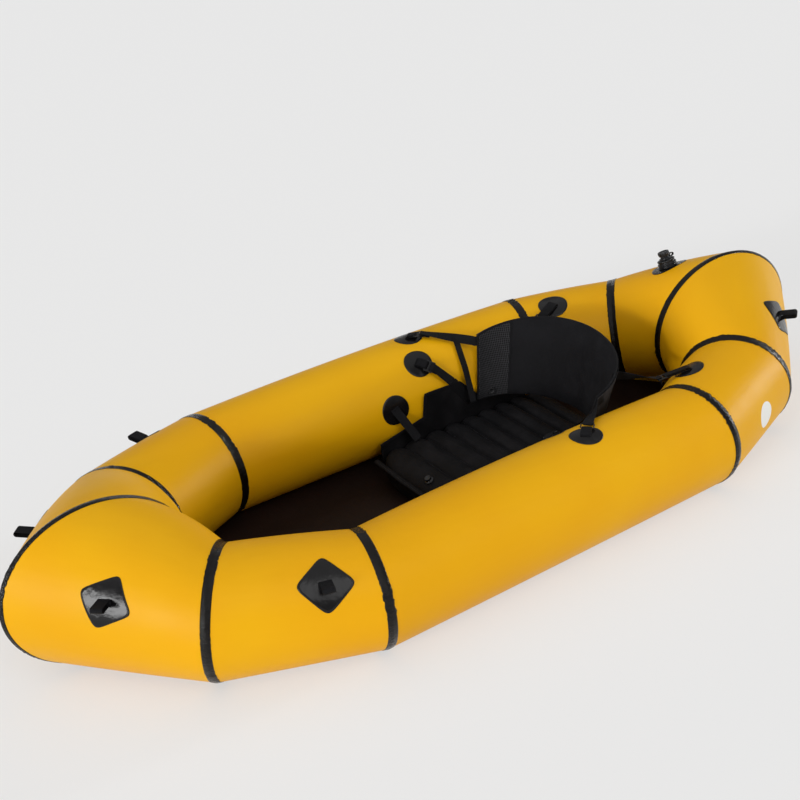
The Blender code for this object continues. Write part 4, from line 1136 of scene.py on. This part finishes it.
for end_name, end_y, outward in (("front", SEAT_FRONT_Y, -1), ("rear", SEAT_FRONT_Y + SEAT_LENGTH, 1)):
    half = SEAT_HALF_WIDTH - HEM_INSET

    def hem_place(i, j):
        return hem_point(end_y, outward, (2 * i / HEM_COLUMNS - 1) * half, j / HEM_ROWS)

    hem_bm = cloth_grid(HEM_COLUMNS, HEM_ROWS, hem_place, half * 2, HEM_REACH)
    face_away(hem_bm, level)
    piece(f"seat_{end_name}_hem", hem_bm, seat_cloth, thickness=HEM_THICKNESS)
    path = [hem_point(end_y, outward, (2 * k / STITCH_STEPS - 1) * half, 0.6) + Z_AXIS * 0.0010
            for k in range(STITCH_STEPS + 1)]
    stitches(f"seat_{end_name}_hem_stitching", path)
for rib in range(1, SEAT_RIBS):
    run = (rib / SEAT_RIBS) ** RIB_SPREAD
    path = []
    for step in range(STITCH_STEPS + 1):
        x = (2 * step / STITCH_STEPS - 1) * SEAT_HALF_WIDTH * STITCH_SHARE
        top = SEAT_BASE_Z + SEAT_HEIGHT - SEAT_CHANNEL + SEAT_SIDE_RISE * (x / SEAT_HALF_WIDTH) ** 2
        top *= 1.0 - 0.06 * abs(x / SEAT_HALF_WIDTH) ** 6
        path.append(Vector((x, SEAT_FRONT_Y + SEAT_LENGTH * run, top + 0.0006)))
    stitches(f"seat_stitching_{rib}", path)


# The seat's side panels: cloth gussets along the cushion's edges, each with a wing that stands up and takes
# the lower strap. Each is bound along its top edge with narrow webbing.
GUSSET_OUTLINE = ((-0.030, 0.045), (0.440, 0.045), (0.440, 0.112), (0.290, 0.118), (0.235, 0.182),
                  (0.125, 0.187), (0.113, 0.122), (-0.030, 0.094))
GUSSET_THICKNESS = 0.002
GUSSET_LIFT = 0.0003
GUSSET_SLACK = 0.7
GUSSET_CUTS = ((Y_AXIS, -0.030, 0.440, 94), (Z_AXIS, 0.045, 0.187, 30))
GUSSET_BINDING_WIDTH = 0.009


def gusset(side):
    """A flat gusset with slightly slack cloth, its outline filled, cut finely and rumpled."""
    name = f"seat_side_panel_{SIDE_NAMES[side]}"
    inner = SEAT_HALF_WIDTH + GUSSET_LIFT
    bm = bmesh.new()
    verts = [bm.verts.new((0.0, y, z)) for y, z in GUSSET_OUTLINE]
    bmesh.ops.contextual_create(bm, geom=verts)
    for axis, low, high, cuts in GUSSET_CUTS:
        for k in range(1, cuts):
            at = low + (high - low) * k / cuts
            geometry = bm.verts[:] + bm.edges[:] + bm.faces[:]
            bmesh.ops.bisect_plane(bm, geom=geometry, plane_co=axis * at, plane_no=axis)
    for vert in bm.verts:
        slack = noise.noise(vert.co * 22) * 0.5 + 0.5
        vert.co.x = side * (inner + GUSSET_THICKNESS * GUSSET_SLACK * slack + 0.0006)
    map_cloth(bm, lambda point: (point.y, point.z))
    face_away(bm, lambda point: Vector((0.0, point.y, point.z)))
    made = piece(f"{name}_cloth", bm, seat_cloth, nodes=[name], thickness=0.0005)
    edge = [Vector((side * (inner + GUSSET_THICKNESS / 2), y, z)) for y, z in GUSSET_OUTLINE[2:]]
    fine = edge[:1]
    for a, b in zip(edge, edge[1:]):
        fine += line(a, b, 10)
    wides = []
    for k in range(len(fine)):
        run = (fine[min(k + 1, len(fine) - 1)] - fine[max(k - 1, 0)]).normalized()
        wides.append(run.cross(X_AXIS).normalized())
    bound = webbing_bm(fine, wides, GUSSET_BINDING_WIDTH, thickness=GUSSET_THICKNESS + 0.0006)
    piece(f"{name}_binding", bound, webbing)


for side in SIDES:
    gusset(side)


# The backrest: a padded band that bends round the paddler's back. Its middle is smooth foam under matt
# cloth, and the wings at both ends are a stiff open mesh with a bold grid. All edges are bound with folded
# tape.
BACK_SIDE_POWER = 4
PAD_CROWN = 0.018
WING_THICKNESS = 0.011
WING_START = radians(60)
BACK_AROUND = 96
PAD_STEPS, WING_STEPS, EDGE_STEPS, SEAM_STEPS = 150, 60, 110, 40
TOP_EDGE_RISE, BOTTOM_EDGE_RISE = 0.985, 0.018
BINDING_WIDTH = 0.009
GRID_PITCH = 0.0055
OUTER_TAPE_RISE = 0.935
OUTER_TAPE_WIDTH = 0.022
pad_cloth = matt_nylon("pad_cloth", rgb(16, 16, 19), rgb(26, 26, 29), 0.0007)


def grid_mesh():
    """Two layers of black spacer mesh: pale cords in an uneven 5.5 mm grid, over small holes painted dark for
    the shade inside them.
    """
    finish = Finish("grid_mesh", Specular_IOR_Level=0.15)
    up, around = finish.cloth()
    drift = finish.noise(finish.vector(up * 30.0, around * 30.0), 1.0, 2.0)
    uneven = drift * 0.004
    levels = (up + uneven).wave(GRID_PITCH * 2).abs().step(0.93, 0.995)
    uprights = (around + uneven).wave(GRID_PITCH * 2).abs().step(0.86, 0.985)
    cords = levels.math("MAXIMUM", levels, uprights) * (0.55 + drift * 0.7)
    holes = (up.wave(0.0022) * around.wave(0.0022)).step(0.15, 0.6)
    # Painted shade: the holes are darkened for the shade that falls inside them.
    base = finish.mix(holes * 0.8, rgb(25, 25, 27), rgb(8, 8, 10))
    finish.set(Base_Color=finish.mix(cords, base, rgb(66, 66, 69)))
    finish.set(Roughness=0.7 - cords * 0.2)
    finish.bump((cords, 0.0006), (holes * -1.0, 0.0004))
    return finish


mesh_cloth = grid_mesh()


def back_run(point):
    """Metres round the backrest from its middle, near enough for a pattern on its cloth."""
    bearing = atan2(point.x / BACK_HALF_WIDTHS[1], (point.y - PIVOT.y) / BACK_DEPTHS[1])
    return bearing * (BACK_HALF_WIDTHS[1] + BACK_DEPTHS[1]) / 2


def padded_band(name, start, end, crown, steps, finish, node, rumple):
    """A closed pad between two bearings: full in its middle, thin at its edges."""

    def place(i, j):
        t = j / steps
        bearing = start + (end - start) * t
        turn = tau * (i % BACK_AROUND) / BACK_AROUND
        span, lift = bent(cos(turn), BACK_SIDE_POWER), bent(sin(turn), BACK_SIDE_POWER)
        close = max(0.0, 1 - abs(2 * t - 1) ** 24) ** (1 / 24)
        swell = crown * sqrt(abs(sin(pi * t))) * (1 - span ** BACK_SIDE_POWER)
        inset = WING_THICKNESS * (1 - lift * close) / 2 + swell * max(-lift, 0.0)
        point = back_point(bearing, (1 + span * (0.985 + 0.015 * close)) / 2, inset)
        relief = noise.noise(point * 14) * 0.6 + noise.noise(point * 38) * 0.4
        return point + back_normal(bearing, 0.5) * relief * rumple * (1 - span ** 6) * lift * close

    bm = cloth_grid(BACK_AROUND, steps, place)
    map_cloth(bm, lambda point: (point.z, back_run(point)))
    made = piece(name, face_out(bm), finish, "backrest", [node])


padded_band("backrest_pad_cover", -WING_START, WING_START, PAD_CROWN, PAD_STEPS, pad_cloth, "backrest_pad",
            0.0012)
for side in SIDES:
    gap = side * CLEARANCE / 2 / BACK_HALF_WIDTHS[0]
    padded_band(f"backrest_wing_{SIDE_NAMES[side]}_mesh", side * WING_START + gap, side * pi / 2, 0.0,
                WING_STEPS, mesh_cloth, f"backrest_wing_{SIDE_NAMES[side]}", 0.0004)


def binding(name, path, wides, width=BINDING_WIDTH, thickness=WING_THICKNESS * 0.55, finish=webbing):
    """Folded tape sewn over an edge of the backrest."""
    bm = webbing_bm(path, wides, width, thickness=thickness)
    piece(f"backrest_{name}", bm, finish, "backrest")


def edge_path(rise, reach, inset):
    return [back_point(-reach + 2 * reach * k / EDGE_STEPS, rise, inset) for k in range(EDGE_STEPS + 1)]


grey_tape = woven_webbing("grey_tape", rgb(30, 30, 33), rgb(74, 74, 78))
reach = pi / 2
levels = zip(edge_path(0.4, reach, 0.0), edge_path(0.6, reach, 0.0))
climbs = [(high - low).normalized() for low, high in levels]
binding("top_binding", edge_path(TOP_EDGE_RISE, reach, WING_THICKNESS / 2), climbs)
binding("outer_tape", edge_path(OUTER_TAPE_RISE, reach - 0.02, -0.0004), climbs, OUTER_TAPE_WIDTH, 0.0008,
        grey_tape)
binding("bottom_binding", edge_path(BOTTOM_EDGE_RISE, reach, WING_THICKNESS / 2), climbs)
seam_turn = (WING_START - 0.05, WING_START + 0.05)
SEAMS = (
    ("front_binding", reach - 0.012, (reach - 0.1, reach), (0.0, 1.0), WING_THICKNESS / 2),
    ("outer_seam", WING_START, seam_turn, (0.02, 0.98), -0.0004, 0.012, 0.0010),
    ("inner_seam", WING_START, seam_turn, (0.02, 0.98), WING_THICKNESS + 0.0003, 0.005, 0.0010),
)
for side in SIDES:
    for kind, bearing, turn, (low, high), inset, *size in SEAMS:
        shares = (low + (high - low) * k / SEAM_STEPS for k in range(SEAM_STEPS + 1))
        path = [back_point(side * bearing, share, inset) for share in shares]
        across = back_point(side * turn[1], 0.5) - back_point(side * turn[0], 0.5)
        binding(f"{kind}_{SIDE_NAMES[side]}", path, [across] * len(path), *size)


# The main valve: a glossy flange welded on the stern, a ribbed collar, a screw-in body that opens for
# letting the air out, and a capped neck for blowing it in. A soft ring round the neck ties the cap to the
# body.
VALVE_SPOT = (STERN, 0.550, radians(91))
FLANGE_RADIUS = 0.044
MM = 0.001
GAP = CLEARANCE / MM
COLLAR_RADIUS, COLLAR_LOW, COLLAR_HIGH = 26.0, 1.0, 12.0
INSERT_RADIUS, INSERT_HEIGHT = 24.5, 10.0
NECK_RADIUS, NECK_HEIGHT = 12.5, 9.0
CAP_RADIUS, CAP_HEIGHT = 16.0, 12.0
TETHER_RIM, TETHER_HEIGHT, TETHER_REACH = 16.8, 3.0, 13.0
LOOP_WIDTH_MM, LOOP_THICKNESS_MM = 8.5, 2.2
LOOP_STEPS = 32
TURNED_STEPS = 96


def valve_plastic():
    """Black moulded plastic with a soft polish, duller where fingers grip it."""
    finish = Finish("valve_plastic", Specular_IOR_Level=0.45)
    where = finish.place()
    handled = finish.noise(where, 120.0, 3.0).step(0.3, 0.7)
    finish.set(Base_Color=finish.mix(handled, rgb(12, 13, 15), rgb(24, 25, 28)))
    finish.set(Roughness=0.22 + handled * 0.22)
    finish.bump((finish.noise(where, 1500.0, 1.0), 0.00005))
    return finish


hard_plastic = valve_plastic()


def axis_place(origin, axis):
    z_axis = axis.normalized()
    x_axis = Y_AXIS.cross(z_axis).normalized()
    return axes(origin, x_axis, z_axis.cross(x_axis), z_axis)


def eased(corners, lip):
    """A profile with each corner off its axis rounded by a lip."""
    points = [Vector(corner) * MM for corner in corners]
    profile = []
    for k, here in enumerate(points):
        if here.x == 0:
            profile.append(here)
            continue
        before, after = points[k - 1], points[(k + 1) % len(points)]
        near = here + (before - here).normalized() * min(lip, (before - here).length * 0.45)
        far = here + (after - here).normalized() * min(lip, (after - here).length * 0.45)
        profile += [near, near * 0.25 + here * 0.5 + far * 0.25, far]
    return profile


def turned(name, corners, lip, place, body, nodes, grip=None):
    """A turned part, with its corners as radius and height in millimetres. Its grip gives the count and depth
    of its ridges and the heights they stand between."""
    profile = eased(corners, lip * MM)
    bm = bmesh.new()
    verts = [bm.verts.new((point.x, 0.0, point.y)) for point in profile]
    edges = [bm.edges.new(pair) for pair in zip(verts, verts[1:])]
    if profile[0].x > 0:
        edges.append(bm.edges.new((verts[-1], verts[0])))
    bmesh.ops.spin(bm, geom=verts + edges, axis=(0.0, 0.0, 1.0), cent=(0.0, 0.0, 0.0), angle=tau,
                   steps=TURNED_STEPS, use_merge=True)
    bmesh.ops.remove_doubles(bm, verts=bm.verts, dist=CLOTH_MERGE)
    bmesh.ops.recalc_face_normals(bm, faces=bm.faces)
    widest = max(point.x for point in profile)
    for vert in bm.verts:
        radius = hypot(vert.co.x, vert.co.y)
        if grip:
            count, depth, low, high = grip[0], grip[1] * MM, grip[2] * MM, grip[3] * MM
            if low < vert.co.z < high and radius > widest - 2 * depth:
                ridge = cos(atan2(vert.co.y, vert.co.x) * count) * 0.5 + 0.5
                vert.co.xy *= 1 - depth * ridge / radius
    bm.transform(place)
    piece(name, bm, hard_plastic, body, nodes)


valve_place = axis_place(skin(STARBOARD, *VALVE_SPOT), skin_normal(STARBOARD, *VALVE_SPOT))
patch("valve_flange_disc", STARBOARD, VALVE_SPOT, FLANGE_RADIUS, 2, 0.0, film, ["valve_flange"])
collar = [(0, COLLAR_HIGH), (COLLAR_RADIUS - 1.2, COLLAR_HIGH)]
for ring in range(3):
    high, low, foot = (COLLAR_HIGH - (COLLAR_HIGH - COLLAR_LOW) * (ring + part) / 3 for part in (0, 0.66, 1))
    collar += [(COLLAR_RADIUS, high - 0.8), (COLLAR_RADIUS, low), (COLLAR_RADIUS - 2.2, low - 0.6),
               (COLLAR_RADIUS - 2.2, foot + 0.2)]
collar += [(COLLAR_RADIUS + 1.2, COLLAR_LOW + 0.1), (COLLAR_RADIUS + 1.2, COLLAR_LOW), (0, COLLAR_LOW)]
turned("valve_collar", collar, 0.5, valve_place, "hull", [])
low = COLLAR_HIGH + GAP
high = low + INSERT_HEIGHT
neck_top = high + NECK_HEIGHT
insert = [(0, neck_top), (NECK_RADIUS, neck_top)]
for turn in range(3):
    crest = neck_top - NECK_HEIGHT * (0.12 + 0.18 * turn)
    insert += [(NECK_RADIUS - 1, crest + 0.6), (NECK_RADIUS, crest), (NECK_RADIUS - 1, crest - 0.6)]
insert += [(NECK_RADIUS - 0.6, high + 3.2), (NECK_RADIUS, high), (INSERT_RADIUS - 5, high),
           (INSERT_RADIUS, high - 2.2), (INSERT_RADIUS, low + 5.2), (INSERT_RADIUS - 2, low + 4.4),
           (INSERT_RADIUS - 2, low + 2), (INSERT_RADIUS - 0.4, low + 1.2), (INSERT_RADIUS - 0.4, low),
           (0, low)]
turned("valve_insert_body", insert, 0.5, valve_place, "valve_insert", ["valve_insert"],
       grip=(24, 1.3, low + 4.8, high - 0.5))
bottom = high + GAP
top = bottom + TETHER_HEIGHT
bore = NECK_RADIUS + GAP
soft_ring = [(bore, top), (TETHER_RIM, top), (TETHER_RIM, bottom), (bore, bottom)]
turned("valve_tether_ring", soft_ring, 0.7, valve_place, "valve_insert", ["valve_tether"])
loop_radius = TETHER_REACH / 2
loop_path = []
for k in range(LOOP_STEPS + 1):
    bearing = tau * k / LOOP_STEPS
    out = TETHER_RIM + loop_radius * (1 + cos(bearing)) - 1.2
    up = bottom + TETHER_HEIGHT * (1.5 + 1.4 * sin(bearing))
    loop_path.append(valve_place @ (Vector((0, out, up)) * MM))
loop_wides = [valve_place.col[0].to_3d()] * len(loop_path)
loop_bm = webbing_bm(loop_path, loop_wides, LOOP_WIDTH_MM * MM, True, LOOP_THICKNESS_MM * MM)
piece("valve_tether_loop", loop_bm, hard_plastic, "valve_insert")
low = neck_top + GAP
high = low + CAP_HEIGHT
cap = [(0, high - 1.6), (CAP_RADIUS * 0.62, high - 1.6), (CAP_RADIUS * 0.70, high), (CAP_RADIUS - 1, high),
       (CAP_RADIUS, high - 2), (CAP_RADIUS, low + 4.2), (CAP_RADIUS - 1.6, low + 3.6),
       (CAP_RADIUS - 1.6, low), (0, low)]
turned("valve_cap_body", cap, 0.6, valve_place, "valve_cap", ["valve_cap"],
       grip=(20, 1.2, low + 4, high - 0.5))

# The small valves: a twist valve with its own cap on the foremost rib of the seat, and one at the lower
# inner corner of the backrest's starboard wing.
SEAT_VALVE = axis_place(Vector((-0.00485, -0.02823, 0.08197)), Vector((0.0161, -0.41398, 0.91014)))
BACK_VALVE = axis_place(Vector((-0.20963, 0.31768, 0.13438)), Vector((0.90502, -0.31571, 0.28508)))
base = [(0, 5.3), (7.5, 5.3), (8.5, 4), (11.5, 3), (12, 2), (12, 0.3), (0, 0.3)]
turned("seat_valve_base", base, 0.5, SEAT_VALVE, "hull", ["seat_valve"])
button = [(0, 11.8), (5.2, 11.8), (5.8, 12.6), (8.2, 12.6), (9, 11.4), (9, 7), (8.2, 5.6), (0, 5.6)]
turned("seat_valve_button", button, 0.5, SEAT_VALVE, "seat_valve_cap", ["seat_valve_cap"],
       grip=(16, 0.7, 6.4, 12.2))
stub = [(0, 6.2), (4.8, 6.2), (5.4, 7), (7.8, 7), (9, 5.6), (9, 2.2), (8.4, 1.2), (8.4, 0), (0, 0)]
turned("backrest_valve_button", stub, 0.5, BACK_VALVE, "backrest_valve", ["backrest_valve"],
       grip=(16, 0.7, 1.6, 6.6))
